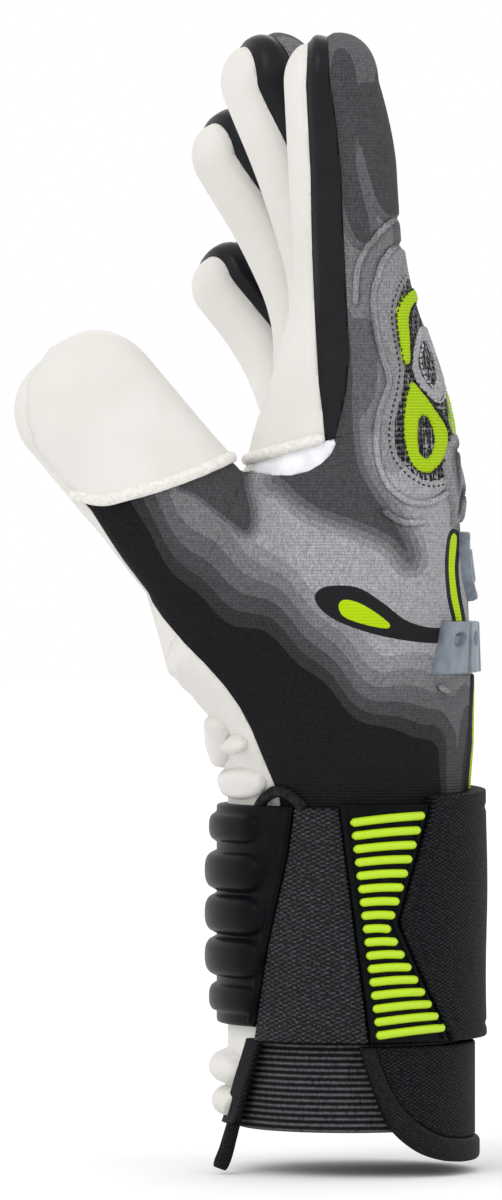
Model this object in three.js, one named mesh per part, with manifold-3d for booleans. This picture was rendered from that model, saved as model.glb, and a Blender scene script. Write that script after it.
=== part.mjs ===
// Goalkeeper glove for the right hand, in millimetres.
// +Z runs from the cuff opening to the fingertips, +X leaves the back of the hand, -X the palm and
// -Y the thumb side. The origin is the centre of the cuff opening, where the hand goes in.
//
// The glove is a hollow shell. Smooth lofts give its outer form and the cavity inside it; the shell
// between them is cut into the sewn panels, and every moving digit is cut free at its knuckle.
import * as THREE from "three";
import { mergeVertices } from "three/addons/utils/BufferGeometryUtils.js";
import Module from "manifold-3d";

// ---------------------------------------------------------------- driving dimensions
const GAP = 0.3; // between panels that meet
const FAR = 200; // reach of a cutting tool past the glove
const SLAB_REACH = 30; // half breadth of the slabs that part a finger
const SIDES = { finger: 12, thumb: 16, hand: 28, cuff: 32, loop: 10 }; // facets round each loft

const LATEX_WALL = 5.5; // palm foam with its backing
const BACK_WALL = 4; // padded knit
const SIDE_WALL = 3; // gusset or knit at the sides

const CUFF = { halfX: 28.5, halfY: 33.5, bottom: 0, top: 84, wall: 3 };
const HAND_BOTTOM = CUFF.top + GAP;

// Sections of the hand: height, centre in X, half depth, half breadth.
const HAND = [
  [HAND_BOTTOM, 0.3, 30.4, 35],
  [97, -1.4, 33, 38.5],
  [112, -1.6, 33.4, 43],
  [134, 0.8, 30.2, 48.5],
  [158, 0.4, 27.6, 51.5],
  [178, 0.2, 25.2, 51.5],
  [196, 0.2, 20.5, 50],
];
const HAND_POWER = 2.5; // of the superelliptic section
const CAVITY_TOP = 184; // of the hand's own cavity; the finger stalls go on from there

// A digit's path runs from inside the hand to the centre of its rounded tip. roll turns its palm
// face towards the thumb, and slot is the room along Y that it has between its neighbours.
const DIGITS = {
  index: {
    path: [[3, -38, 158], [3, -38, 182], [0.5, -39.5, 210], [-1.4, -41.5, 235], [-3, -44, 264.6]],
    halfDepth: 13.7, halfBreadth: 12.1, roll: 0, slot: [-FAR, -25.4],
  },
  middle: {
    path: [[4, -12.6, 158], [4, -12.6, 182], [-1.5, -12.8, 215], [-9.6, -12.9, 243], [-19.2, -13, 267]],
    halfDepth: 13.4, halfBreadth: 12.2, roll: 18, slot: [-25.4, 0.2],
  },
  ring: {
    path: [[0, 12.8, 158], [0, 12.8, 180], [-5.4, 12.9, 206], [-15.5, 13, 230], [-27.3, 13.1, 250]],
    halfDepth: 12.9, halfBreadth: 12.1, roll: 26, slot: [0.2, 25.4],
  },
  little: {
    path: [[-3, 37, 156], [-5, 37, 176], [-12.6, 39.6, 194], [-20, 42, 206], [-29, 44.4, 217.6]],
    halfDepth: 11.6, halfBreadth: 11.2, roll: 30, slot: [25.4, FAR],
  },
};
const FINGER = {
  power: 2.2, // of the superelliptic section
  knuckleDepth: 19, // half depth of every finger where it leaves the hand
  knuckleFrom: 14, // where that begins to fade, along the path
  knuckleFade: 34, // and over what length
  latexShare: 0.72, // the latex begins at this share of the half depth
  backShare: -0.1, // and the knit of the back ends at this one
  flex: 55, // degrees it folds towards the palm
  extend: 8, // degrees it bends back
  hingeDepth: 10, // from the path towards the palm
};

// The thumb lies across the thumb side and shows its back to -Y.
const THUMB = {
  base: [-14, -25, 112], hinge: [-36.8, -45, 148], mid: [-50.8, -50, 164.6], tip: [-65.6, -51.5, 182.2],
  halfBreadth: 18.6, halfDepth: 13.6, thenarBreadth: 21, thenarDepth: 17, power: 2.3,
  flex: 35, extend: 15, hingeDepth: 8,
  acrossLimit: 20, // the knuckle cut stops here towards the index finger
  palmLimit: -28, // and at this Y towards the palm
  seamY: -48, // where its two skins meet
};
const HEM = { low: [-90, 158], high: [60, 187] }; // the slanting edge of the thumb's cap, in X and Z

// The edge between latex and knit, in X and Z: on the thumb's side, and everywhere past it.
const THENAR_EDGE = [[-22, 79], [-27, 92], [-31.6, 102], [-35.4, 111], [-41, 121], [-48, 131], [-66, 152]];
const PALM_EDGE = [[-15, 79], [-16, 92], [-16.5, 102], [-16.5, 111], [-16, 121], [-15, 131], [-12, 230]];
const THENAR_Y = { outer: -40, inner: -27 }; // the edge passes from one to the other between these
const KNIT_SEAM = 33; // the knit of the back meets the knit of the two sides at this distance in Y

// Raised pieces on the back. Outlines are in Y and Z.
const PAD_RISE = 2;
const FLASH_RISE = 1.4;
const BADGE_RISE = 4.5;
const KNUCKLE_PADS = {
  index: { y: -41, z: 206, halfY: 10, halfZ: 15.5 },
  middle: { y: -12.8, z: 208, halfY: 8.5, halfZ: 15.5 },
  ring: { y: 13, z: 204, halfY: 8.5, halfZ: 15.5 },
  little: { y: 38.5, z: 195, halfY: 8.5, halfZ: 9.5 },
};
const HAND_PAD = [
  [-47, 167], [-45, 176], [45, 171], [46, 162], [38, 154], [24, 152.5],
  [12, 157], [0, 153.5], [-12, 157], [-26, 152], [-40, 156],
];
const FLASH = [[-9, 88], [9, 88], [12, 104], [9, 112.5], [-9, 112.5], [-12, 104]];
const BADGE = [
  [-14, 133.5], [14, 133.5], [20, 138.5], [20, 147],
  [14, 151.5], [-14, 151.5], [-20, 147], [-20, 138.5],
];
const GRIP = { blocks: 6, pitch: 12.4, breadth: 11.2, low: 115, high: 128.6, railInset: 2, from: 16 };

// Strap: inner and outer are offsets from the cuff, and the edges are in X and Z.
const STRAP = { bottom: 21.5, top: 81, inner: 2.6, outer: 5.4, padTop: 81.5, padBottom: 25 };
const STRAP_REACH = { low: 15, high: 90 }; // the edges below run past the strap to these heights
const PAD_EDGE = [[-13.6, 90], [-16, 70], [-21.5, 45], [-26, 15]];
const PEEL_LINE = [[6.2, 15], [-3.7, 90]]; // the strap peels open about this line
const BADGE_EDGE = [[26.8, 15], [25.3, 21.5], [12.1, 51.8], [20.7, 83.4], [22, 90]];
const STRAP_BADGE = { outer: 6.2, top: 82 };
const TAB = { outer: 6, startX: 14, endY: 22 };
const ANCHOR_X = 17; // where the fixed end stops on the far side
const RIBS = { heights: [75.5, 64.3, 53.2, 42.2, 31.6], large: 4, small: 3.1, reach: 33 };
const BARS = {
  count: 17, low: 22.3, high: 76.9, height: 2.2, inner: 6.5, outer: 7.9, carrier: 7,
  leftLow: 5.9, leftHigh: -0.7, rightLow: 24, rightWaist: 10.5, rightHigh: 19.3,
};
const PATCH = { low: 26, high: 78, fromX: 12, hookHalfY: 20, loopHalfY: 24, split: 1.1, hookOuter: 2.3 };

// Cuff trim.
const WRIST_LATEX = { outer: 2.3, edgeX: -20, bottom: 1 };
const ROLLS = [{ z: 13.6, radius: 4.3 }, { z: 4.8, radius: 3.6 }];
const ROLL_OFFSET = 3.2;
const ROLL_REACH = 30;
const HEEL = {
  top: 20.6, panel: 3, binding: 4.2,
  outline: [[1.3, 24], [6, 10], [10.5, 0], [18, -6.5], [27, -9.6], [60, -10.4], [60, 24]],
  seam: [[4.8, 24], [9.5, 11], [14, 3.6], [21, -2], [28, -3.6], [60, -4]],
};
const TAPE = { inner: 2.6, outer: 4.6, outline: [[-20.1, 20.4], [-14.9, 20.4], [-25.2, 1], [-30.4, 1]] };
const LOOP = {
  path: [[-28, -19, -2], [-28.5, -19, -4], [-29.6, -18.8, -7.5], [-31.2, -18.4, -12.2]],
  halfX: [2.4, 3.4, 3.4, 2.6],
  halfY: [1.8, 2.2, 2.2, 1.6],
  power: 2.6,
};
const LINER = [
  [-27, 167.5], [-22, 169.6], [-13, 170.6], [-5.5, 173],
  [-6.6, 169], [-12, 166.4], [-19, 165.4], [-25, 166.2],
];
const LINER_Y = [-52.4, -49.6];

// ---------------------------------------------------------------- solids
const wasm = await Module();
wasm.setup();
const vec = (p) => new THREE.Vector3(...p);
const X = vec([1, 0, 0]);
const Y = vec([0, 1, 0]);
const Z = vec([0, 0, 1]);
const degrees = THREE.MathUtils.degToRad;
const smooth = (t) => THREE.MathUtils.smoothstep(t, 0, 1);
const POINT = 0.6; // least half size of a ring at a rounded tip

// A closed three.js geometry as a manifold-3d solid.
function solid(geometry) {
  for (const name of Object.keys(geometry.attributes))
    if (name !== "position") geometry.deleteAttribute(name);
  const merged = mergeVertices(geometry, 1e-4);
  const build = (index) =>
    new wasm.Manifold(
      new wasm.Mesh({ numProp: 3, vertProperties: merged.attributes.position.array, triVerts: index }),
    );
  const index = new Uint32Array(merged.index.array);
  const made = build(index);
  return made.volume() > 0 ? made : build(index.reverse());
}

// A solid through rings that all have the same number of points, closed by a fan at each end.
function loft(rings) {
  const sides = rings[0].length;
  const points = rings.flat();
  const faces = [];
  for (let i = 0; i + 1 < rings.length; i++)
    for (let j = 0; j < sides; j++) {
      const [a, b] = [i * sides + j, i * sides + ((j + 1) % sides)];
      faces.push(a, b, a + sides, b, b + sides, a + sides);
    }
  for (const [ring, turn] of [[0, true], [rings.length - 1, false]]) {
    const centre = new THREE.Vector3();
    for (const p of rings[ring]) centre.addScaledVector(p, 1 / sides);
    points.push(centre);
    for (let j = 0; j < sides; j++) {
      const edge = [ring * sides + j, ring * sides + ((j + 1) % sides)];
      faces.push(...(turn ? edge.reverse() : edge), points.length - 1);
    }
  }
  const geometry = new THREE.BufferGeometry().setFromPoints(points);
  geometry.setIndex(faces);
  return solid(geometry);
}

// A ring of superelliptic section about centre, from half sizes along two directions.
function ring(centre, u, halfU, v, halfV, sides, power = 2) {
  const round = (x) => Math.sign(x) * Math.abs(x) ** (2 / power);
  return Array.from({ length: sides }, (_, i) => {
    const a = (2 * Math.PI * i) / sides;
    return centre
      .clone()
      .addScaledVector(u, halfU * round(Math.cos(a)))
      .addScaledVector(v, halfV * round(Math.sin(a)));
  });
}

// A flat outline in the plane of u and v through origin, extruded from low to high along u x v.
function prism(outline, origin, u, v, low, high) {
  const shape = new THREE.Shape(outline.map(([a, b]) => new THREE.Vector2(a, b)));
  const geometry = new THREE.ExtrudeGeometry(shape, { depth: high - low, bevelEnabled: false });
  const normal = new THREE.Vector3().crossVectors(u, v);
  const matrix = new THREE.Matrix4().makeBasis(u, v, normal);
  matrix.setPosition(origin.clone().addScaledVector(normal, low));
  return solid(geometry.applyMatrix4(matrix));
}

// Points of an ellipse, for outlines.
function oval(a, b, halfA, halfB, count = 16) {
  return Array.from({ length: count }, (_, i) => {
    const t = (2 * Math.PI * i) / count;
    return [a + halfA * Math.cos(t), b + halfB * Math.sin(t)];
  });
}
// Side outlines are drawn in X and Z and extruded along Y, back outlines in Y and Z along X.
const sidePrism = (outline, yLow, yHigh) => prism(outline, vec([0, 0, 0]), X, Z, -yHigh, -yLow);
const backPrism = (outline, xLow, xHigh) => prism(outline, vec([0, 0, 0]), Y, Z, xLow, xHigh);
function block(low, high) {
  const size = vec(high).sub(vec(low));
  const centre = vec(low).addScaledVector(size, 0.5);
  const geometry = new THREE.BoxGeometry(size.x, size.y, size.z);
  return solid(geometry.translate(centre.x, centre.y, centre.z));
}
const join = (solids) => solids.reduce((a, b) => a.add(b));

// ---------------------------------------------------------------- outer form and cavity
// The hand's loft, grown by a wall at the palm, the back and the sides. Negative walls shrink it.
function handLoft(palm, back, side) {
  const rings = HAND.map(([z, cx, halfX, halfY]) => {
    const centre = vec([cx + (back - palm) / 2, 0, z]);
    return ring(centre, X, halfX + (back + palm) / 2, Y, halfY + side, SIDES.hand, HAND_POWER);
  });
  return loft(rings);
}

// A digit's path with its frame: point, direction, towards the palm, and sideways.
function digitFrame(digit) {
  const curve = new THREE.CatmullRomCurve3(digit.path.map(vec));
  const length = curve.getLength();
  const palmAtBase = vec([-1, 0, 0]).applyAxisAngle(Z, degrees(digit.roll));
  return (s) => {
    const t = THREE.MathUtils.clamp(s / length, 0, 1);
    const direction = curve.getTangentAt(t);
    const point = curve.getPointAt(t).addScaledVector(direction, s - t * length);
    const palm = palmAtBase.clone().addScaledVector(direction, -palmAtBase.dot(direction)).normalize();
    return { point, direction, palm, side: direction.clone().cross(palm), length };
  };
}

// A finger's loft, from inside the hand round its tip, grown or shrunk by the given walls.
function fingerLoft(digit, palm, back, side) {
  const frame = digitFrame(digit);
  const { length } = frame(0);
  const tipRound = digit.halfDepth - 1;
  const stations = [0, 14, 24, 36, 50];
  for (let s = 68; s < length - 6; s += 18) stations.push(s);
  const rings = stations.filter((s) => s < length - 4).map((s) => [s, 1]);
  for (const angle of [0, 30, 54, 72, 84])
    rings.push([length + tipRound * Math.sin(degrees(angle)), Math.cos(degrees(angle))]);
  return loft(
    rings.map(([s, share]) => {
      const { point, direction, palm: toPalm, side: sideways } = frame(s);
      const knuckle = 1 - smooth((s - FINGER.knuckleFrom) / FINGER.knuckleFade);
      const depth = THREE.MathUtils.lerp(digit.halfDepth, FINGER.knuckleDepth, knuckle);
      const centre = point
        .clone()
        .addScaledVector(toPalm, ((palm - back) / 2) * share)
        .addScaledVector(direction, s > length ? side : 0);
      const halfDepth = Math.max(POINT, (depth + (palm + back) / 2) * share);
      const halfBreadth = Math.max(POINT, (digit.halfBreadth + side) * share);
      return ring(centre, toPalm, halfDepth, sideways, halfBreadth, SIDES.finger, FINGER.power);
    }),
  );
}

// The thumb's own frame: along it, across its breadth (both in the XZ plane), and its back, -Y.
const thumbAlong = vec(THUMB.tip).sub(vec(THUMB.hinge)).setY(0).normalize();
const thumbAcross = Y.clone().cross(thumbAlong).negate(); // to the index finger
function thumbLoft(wall, palm) {
  const tip = vec(THUMB.tip);
  const root = vec(THUMB.base).lerp(vec(THUMB.hinge), 0.55);
  const rings = [
    { centre: vec(THUMB.base), breadth: THUMB.thenarBreadth, depth: THUMB.thenarDepth, share: 1 },
    { centre: root, breadth: THUMB.thenarBreadth, depth: THUMB.thenarDepth, share: 1 },
    { centre: vec(THUMB.hinge), breadth: THUMB.halfBreadth + 0.6, depth: THUMB.halfDepth + 1, share: 1 },
    { centre: vec(THUMB.mid), breadth: THUMB.halfBreadth, depth: THUMB.halfDepth, share: 1 },
  ];
  for (const angle of [0, 28, 52, 70, 82]) {
    const share = Math.cos(degrees(angle));
    const reach = (THUMB.halfBreadth - 1) * Math.sin(degrees(angle)) + (angle ? wall : 0);
    rings.push({
      centre: tip.clone().addScaledVector(thumbAlong, reach),
      breadth: THUMB.halfBreadth * share,
      depth: THUMB.halfDepth * share,
      share,
    });
  }
  return loft(
    rings.map(({ centre, breadth, depth, share }) => {
      const middle = centre.clone().addScaledVector(Y, (palm / 2) * share);
      const halfAcross = Math.max(POINT, breadth + wall * share);
      const halfDeep = Math.max(POINT, depth + (wall + palm / 2) * share);
      return ring(middle, thumbAcross, halfAcross, Y, halfDeep, SIDES.thumb, THUMB.power);
    }),
  );
}

const fingerNames = Object.keys(DIGITS);
const fingerOuter = {};
for (const name of fingerNames) fingerOuter[name] = fingerLoft(DIGITS[name], 0, 0, 0);
const cuffInner = loft(
  [CUFF.bottom - 20, HAND_BOTTOM + 8].map((z) =>
    ring(vec([0, 0, z]), X, CUFF.halfX - CUFF.wall, Y, CUFF.halfY - CUFF.wall, SIDES.cuff),
  ),
);
const aboveCavity = block([-FAR, -FAR, CAVITY_TOP], [FAR, FAR, FAR]);
const cavity = join([
  cuffInner,
  handLoft(-LATEX_WALL, -BACK_WALL, -BACK_WALL).subtract(aboveCavity),
  thumbLoft(-SIDE_WALL, -2),
  ...fingerNames.map((name) => fingerLoft(DIGITS[name], -LATEX_WALL, -BACK_WALL, -SIDE_WALL)),
]);

// ---------------------------------------------------------------- knuckle cuts
// A wedge with its apex on a hinge: everything whose direction from the hinge lies between two
// angles measured from forward towards palm.
function wedge(hinge, forward, palm, fromAngle, toAngle, low, high, lift) {
  const corner = (angle) => [Math.cos(degrees(angle)) * FAR, Math.sin(degrees(angle)) * FAR];
  const steps = 3;
  const fan = Array.from({ length: steps + 1 }, (_, i) =>
    corner(fromAngle + ((toAngle - fromAngle) * i) / steps),
  );
  const origin = hinge.clone().addScaledVector(forward, lift);
  return prism([[0, 0], ...fan], origin, forward, palm, low, high);
}

// The digit's own side of its knuckle, and what the hand must give up there.
function knuckle(hinge, forward, palm, flex, extend, low, high) {
  const palmSide = 90 - flex / 2;
  const backSide = -90 + extend / 2;
  return {
    keep: wedge(hinge, forward, palm, backSide, palmSide, low + GAP / 2, high - GAP / 2, 0.5),
    giveUp: wedge(hinge, forward, palm, -90 - extend / 2, 90 + flex / 2, low, high, -0.5),
  };
}

const knuckles = {};
for (const [name, digit] of Object.entries(DIGITS)) {
  const hinge = vec(digit.path[1]);
  const forward = vec(digit.path[2]).sub(hinge).setY(0).normalize();
  const palm = Y.clone().cross(forward).negate();
  hinge.addScaledVector(palm, FINGER.hingeDepth);
  // The wedge is drawn in forward and palm, so it is extruded along -Y.
  const [high, low] = digit.slot.map((y) => hinge.y - y);
  knuckles[name] = knuckle(hinge, forward, palm, FINGER.flex, FINGER.extend, low, high);
}
const thumbHinge = vec(THUMB.hinge).addScaledVector(Y, THUMB.hingeDepth);
const thumbCut = knuckle(
  thumbHinge, thumbAlong, Y, THUMB.flex, THUMB.extend, -FAR, THUMB.acrossLimit,
);
thumbCut.giveUp = thumbCut.giveUp.intersect(block([-FAR, -FAR, -FAR], [FAR, THUMB.palmLimit, FAR * 2]));

// ---------------------------------------------------------------- panels
const group = new THREE.Group();
const material = (color, roughness, metalness = 0) =>
  new THREE.MeshStandardMaterial({ color, roughness, metalness });
const MATERIALS = {
  latex: material(0xe6e3de, 0.6),
  knit: material(0x6e6c70, 0.9),
  knitDark: material(0x242426, 0.9),
  gusset: material(0x1b1d20, 0.5),
  elastic: material(0x1d1f23, 0.85),
  rubber: material(0x15171b, 0.45),
  lime: material(0xb4d60e, 0.45),
  slate: material(0x76808a, 0.5),
};

// The largest body of a solid as a named mesh.
function piece(name, made, look) {
  const bodies = made.decompose().sort((a, b) => b.volume() - a.volume());
  const { vertProperties, triVerts, numProp } = bodies[0].getMesh();
  const geometry = new THREE.BufferGeometry();
  geometry.setAttribute("position", new THREE.BufferAttribute(vertProperties, numProp));
  geometry.setIndex(new THREE.BufferAttribute(triVerts, 1));
  const mesh = new THREE.Mesh(geometry, look);
  mesh.name = name;
  group.add(mesh);
}

// A slab that follows a finger between two depths, given as shares of its half depth.
function depthSlab(digit, low, high) {
  const frame = digitFrame(digit);
  const { length } = frame(0);
  const stations = [-10, 14, 30, 46, 62, length - 8, length + 30];
  return loft(
    stations.map((s) => {
      const { point, palm, side } = frame(s);
      return [[low, -1], [high, -1], [high, 1], [low, 1]].map(([depth, across]) =>
        point.clone().addScaledVector(palm, depth).addScaledVector(side, across * SLAB_REACH),
      );
    }),
  );
}

for (const name of fingerNames) {
  const digit = DIGITS[name];
  const shell = fingerOuter[name].subtract(cavity).intersect(knuckles[name].keep);
  const latexFrom = FINGER.latexShare * digit.halfDepth;
  const backTo = FINGER.backShare * digit.halfDepth;
  const latexZone = (shift) => depthSlab(digit, latexFrom + shift, FAR / 3);
  const backZone = (shift) => depthSlab(digit, -FAR / 3, backTo + shift);
  piece(`${name}_palm_latex`, shell.intersect(latexZone(GAP / 2)), MATERIALS.latex);
  piece(`${name}_back_knit`, shell.intersect(backZone(-GAP / 2)), MATERIALS.knit);
  piece(
    `${name}_gusset`,
    shell.subtract(latexZone(-GAP / 2)).subtract(backZone(GAP / 2)),
    MATERIALS.gusset,
  );
}

// The thumb: latex over its tip in two skins, with the knit of the hand below the slanting hem.
const thumbShell = thumbLoft(0, 0).subtract(cavity).intersect(thumbCut.keep);
const thumbPalmSide = block([-FAR, THUMB.seamY + GAP / 2, 0], [FAR, FAR, FAR]);
const thumbBackSide = block([-FAR, -FAR, 0], [FAR, THUMB.seamY - GAP / 2, FAR]);
function hemSide(shift, z) {
  const hem = [HEM.low, HEM.high].map(([x, height]) => [x, height + shift]);
  return sidePrism([...hem, [HEM.high[0], z], [HEM.low[0], z]], -FAR, FAR);
}
const thumbBack = thumbShell.intersect(thumbBackSide);
piece("thumb_palm_latex", thumbShell.intersect(thumbPalmSide), MATERIALS.latex);
piece("thumb_cap_latex", thumbBack.intersect(hemSide(GAP / 2, FAR * 2)), MATERIALS.latex);
piece("thumb_back_knit", thumbBack.intersect(hemSide(-GAP / 2, 0)), MATERIALS.knit);

// The hand: latex palm and knit back, parted along the thumb's edge, the palm and the far side.
const stumps = fingerNames.map((name) => {
  const top = HAND.at(-1)[0];
  return fingerOuter[name].subtract(block([-FAR, -FAR, top], [FAR, FAR, FAR * 2]));
});
const handCuts = [...fingerNames.map((name) => knuckles[name].giveUp), thumbCut.giveUp];
const handShell = handCuts.reduce(
  (shell, cut) => shell.subtract(cut),
  join([handLoft(0, 0, 0), thumbLoft(0, 0), ...stumps])
    .subtract(block([-FAR, -FAR, -FAR], [FAR, FAR, HAND_BOTTOM]))
    .subtract(cavity),
);
function palmSideSolid(shift) {
  const section = (edge, y) => {
    const moved = edge.map(([x, z]) => vec([x + shift, y, z]));
    return [...moved, vec([-FAR, y, FAR + 40]), vec([-FAR, y, edge[0][1]])];
  };
  return loft([
    section(THENAR_EDGE, -FAR),
    section(THENAR_EDGE, THENAR_Y.outer),
    section(PALM_EDGE, THENAR_Y.inner),
    section(PALM_EDGE, FAR),
  ]);
}
piece("palm_latex", handShell.intersect(palmSideSolid(-GAP / 2)), MATERIALS.latex);
const knitShell = handShell.subtract(palmSideSolid(GAP / 2));
const knitBand = (low, high) => knitShell.intersect(block([-FAR, low, -FAR], [FAR, high, FAR * 2]));
piece("thumb_side_knit", knitBand(-FAR, -KNIT_SEAM - GAP / 2), MATERIALS.knit);
piece("backhand_knit", knitBand(-KNIT_SEAM + GAP / 2, KNIT_SEAM - GAP / 2), MATERIALS.knit);
piece("outer_side_knit", knitBand(KNIT_SEAM + GAP / 2, FAR), MATERIALS.knit);

// Raised pads that lie on the knit, cut from the grown hand and fingers.
const grown = (by) =>
  join([handLoft(by, by, by), ...fingerNames.map((name) => fingerLoft(DIGITS[name], by, by, by))]);
const skin = (rise) => grown(rise).subtract(grown(GAP));
const onBack = (outline, from = 3) => backPrism(outline, from, FAR);
const padSkin = skin(PAD_RISE);
for (const name of fingerNames) {
  const { y, z, halfY, halfZ } = KNUCKLE_PADS[name];
  const pad = padSkin.intersect(onBack(oval(y, z, halfY, halfZ), -6));
  piece(`${name}_knuckle_pad`, pad.intersect(knuckles[name].keep), MATERIALS.knit);
}
const handPad = handCuts.reduce((s, cut) => s.subtract(cut), padSkin.intersect(onBack(HAND_PAD)));
piece("hand_knuckle_pad", handPad, MATERIALS.knit);
piece("dorsal_flash", skin(FLASH_RISE).intersect(onBack(FLASH)), MATERIALS.lime);

const badgeSkin = skin(BADGE_RISE);
const backBox = (halfY, low, high, y = 0) =>
  onBack([[y - halfY, low], [y + halfY, low], [y + halfY, high], [y - halfY, high]], GRIP.from);
piece("dorsal_badge", badgeSkin.intersect(onBack(BADGE)), MATERIALS.slate);
const gripBlocks = Array.from({ length: GRIP.blocks }, (_, i) =>
  backBox(GRIP.breadth / 2, GRIP.low, GRIP.high, (i - (GRIP.blocks - 1) / 2) * GRIP.pitch),
);
const railHalf = (GRIP.blocks * GRIP.pitch) / 2 - GRIP.railInset;
const gripRail = backBox(railHalf, GRIP.low + GRIP.railInset, GRIP.high - GRIP.railInset);
piece(
  "dorsal_grip_bar",
  badgeSkin.intersect(join(gripBlocks)).add(padSkin.intersect(gripRail)),
  MATERIALS.slate,
);

// The liner that shows in the web of the thumb.
piece(
  "crotch_liner",
  sidePrism(LINER, ...LINER_Y)
    .subtract(grown(GAP))
    .subtract(thumbLoft(GAP, GAP))
    .subtract(knuckles.index.giveUp),
  MATERIALS.latex,
);

// ---------------------------------------------------------------- cuff
// A tube that follows the cuff between two offsets and two heights.
function cuffTube(inner, outer, bottom, top) {
  const wall = (offset, low, high) =>
    loft(
      [low, high].map((z) =>
        ring(vec([0, 0, z]), X, CUFF.halfX + offset, Y, CUFF.halfY + offset, SIDES.cuff),
      ),
    );
  return wall(outer, bottom, top).subtract(wall(inner, bottom - 1, top + 1));
}

// A round bead that lies across the palm side of the cuff, reaching an angle each side of it.
function roll(z, radius, offset, reach) {
  const path = new THREE.CatmullRomCurve3(
    [-1, -0.5, 0, 0.5, 1].map((share) => {
      const a = degrees(share * reach);
      return vec([-(CUFF.halfX + offset) * Math.cos(a), (CUFF.halfY + offset) * Math.sin(a), z]);
    }),
  );
  const round = new THREE.Shape().absarc(0, 0, radius, 0, 2 * Math.PI);
  return solid(
    new THREE.ExtrudeGeometry(round, { extrudePath: path, steps: 7, curveSegments: 5, bevelEnabled: false }),
  );
}
piece("wrist_bandage", cuffTube(-CUFF.wall, 0, CUFF.bottom, CUFF.top), MATERIALS.elastic);

// Latex on the palm side of the wrist, with rolls below the strap.
const palmHalf = block([-FAR, -FAR, -FAR], [WRIST_LATEX.edgeX, FAR, FAR]);
const wristRolls = (grow) =>
  join(ROLLS.map(({ z, radius }) => roll(z, radius + grow, ROLL_OFFSET, ROLL_REACH)));
const insideOf = (offset) => cuffTube(-CUFF.wall * 3, offset, -FAR / 10, CUFF.top + 16);
piece(
  "wrist_palm_latex",
  cuffTube(GAP, WRIST_LATEX.outer, WRIST_LATEX.bottom, CUFF.top)
    .intersect(palmHalf)
    .add(wristRolls(0).subtract(insideOf(GAP))),
  MATERIALS.latex,
);

// ---------------------------------------------------------------- strap
// Grip pad on the palm, elastic each side of it, and the badge and tab that peel open.
const { low: stripLow, high: stripHigh } = STRAP_REACH;
const thumbSide = (outline) => sidePrism(outline, -FAR, 0);
const farSide = (outline) => sidePrism(outline, 0, FAR);
const shifted = (edge, by) => edge.map(([x, z]) => [x + by, z]);
const strapTube = cuffTube(STRAP.inner, STRAP.outer, STRAP.bottom, STRAP.top);
const ribs = RIBS.heights.map((z, i) => {
  const small = i === 0 || i === RIBS.heights.length - 1;
  return roll(z, small ? RIBS.small : RIBS.large, STRAP.outer - 1.2, RIBS.reach);
});
piece(
  "strap_palm_pad",
  cuffTube(STRAP.inner, STRAP.outer, STRAP.padBottom, STRAP.padTop)
    .intersect(sidePrism([...PAD_EDGE, [-FAR, stripLow], [-FAR, stripHigh]], -FAR, FAR))
    .add(join(ribs).subtract(insideOf(STRAP.inner))),
  MATERIALS.rubber,
);
const pastPad = shifted(PAD_EDGE, GAP).reverse();
piece(
  "strap_elastic",
  strapTube.intersect(thumbSide([...pastPad, ...shifted(PEEL_LINE, -GAP).reverse()])),
  MATERIALS.elastic,
);
piece(
  "strap_anchor",
  strapTube
    .intersect(farSide([...pastPad, [FAR, stripHigh], [FAR, stripLow]]))
    .intersect(block([-FAR, 1, 0], [ANCHOR_X, FAR, FAR])),
  MATERIALS.elastic,
);
piece(
  "strap_badge",
  cuffTube(STRAP.inner, STRAP_BADGE.outer, STRAP.bottom, STRAP_BADGE.top).intersect(
    thumbSide([...PEEL_LINE, ...BADGE_EDGE.toReversed()]),
  ),
  MATERIALS.rubber,
);

// Moulded bars: long at the ends of the badge, short at its waist, on one thin carrier.
const { lerp } = THREE.MathUtils;
function barEnds(share) {
  const left = lerp(BARS.leftLow, BARS.leftHigh, share);
  const right = share < 0.5
    ? lerp(BARS.rightLow, BARS.rightWaist, share * 2)
    : lerp(BARS.rightWaist, BARS.rightHigh, share * 2 - 1);
  return { left, right, z: lerp(BARS.low, BARS.high, share) };
}
const barSkin = cuffTube(BARS.inner, BARS.outer, BARS.low - 5, BARS.high + 5);
const bars = Array.from({ length: BARS.count }, (_, i) => {
  const { left, right, z } = barEnds(i / (BARS.count - 1));
  const [low, high] = [z - BARS.height / 2, z + BARS.height / 2];
  return barSkin.intersect(thumbSide([[left, low], [right, low], [right, high], [left, high]]));
});
const carrierSides = [0, 0.5, 1].map(barEnds);
const carrier = cuffTube(BARS.inner, BARS.carrier, BARS.low, BARS.high).intersect(
  thumbSide([
    ...carrierSides.map(({ left, z }) => [left + 1, z]),
    ...carrierSides.toReversed().map(({ right, z }) => [right - 1.5, z]),
  ]),
);
piece("strap_badge_bars", join([...bars, carrier]), MATERIALS.lime);

piece(
  "strap_closure_tab",
  cuffTube(STRAP.inner, TAB.outer, STRAP.bottom, CUFF.top).intersect(
    thumbSide([...shifted(BADGE_EDGE, GAP), [FAR, stripHigh], [FAR, stripLow]]).add(
      block([TAB.startX, -1, stripLow], [FAR, TAB.endY, stripHigh]),
    ),
  ),
  MATERIALS.elastic,
);
const patchZone = (half) => block([PATCH.fromX, -half, PATCH.low], [FAR, half, PATCH.high]);
const patchTube = (inner, outer) => cuffTube(inner, outer, PATCH.low, PATCH.high);
piece(
  "strap_hook_patch",
  patchTube(PATCH.split + GAP, PATCH.hookOuter).intersect(patchZone(PATCH.hookHalfY)),
  MATERIALS.rubber,
);
piece(
  "cuff_loop_patch",
  patchTube(GAP, PATCH.split).intersect(patchZone(PATCH.loopHalfY)),
  MATERIALS.elastic,
);

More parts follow.
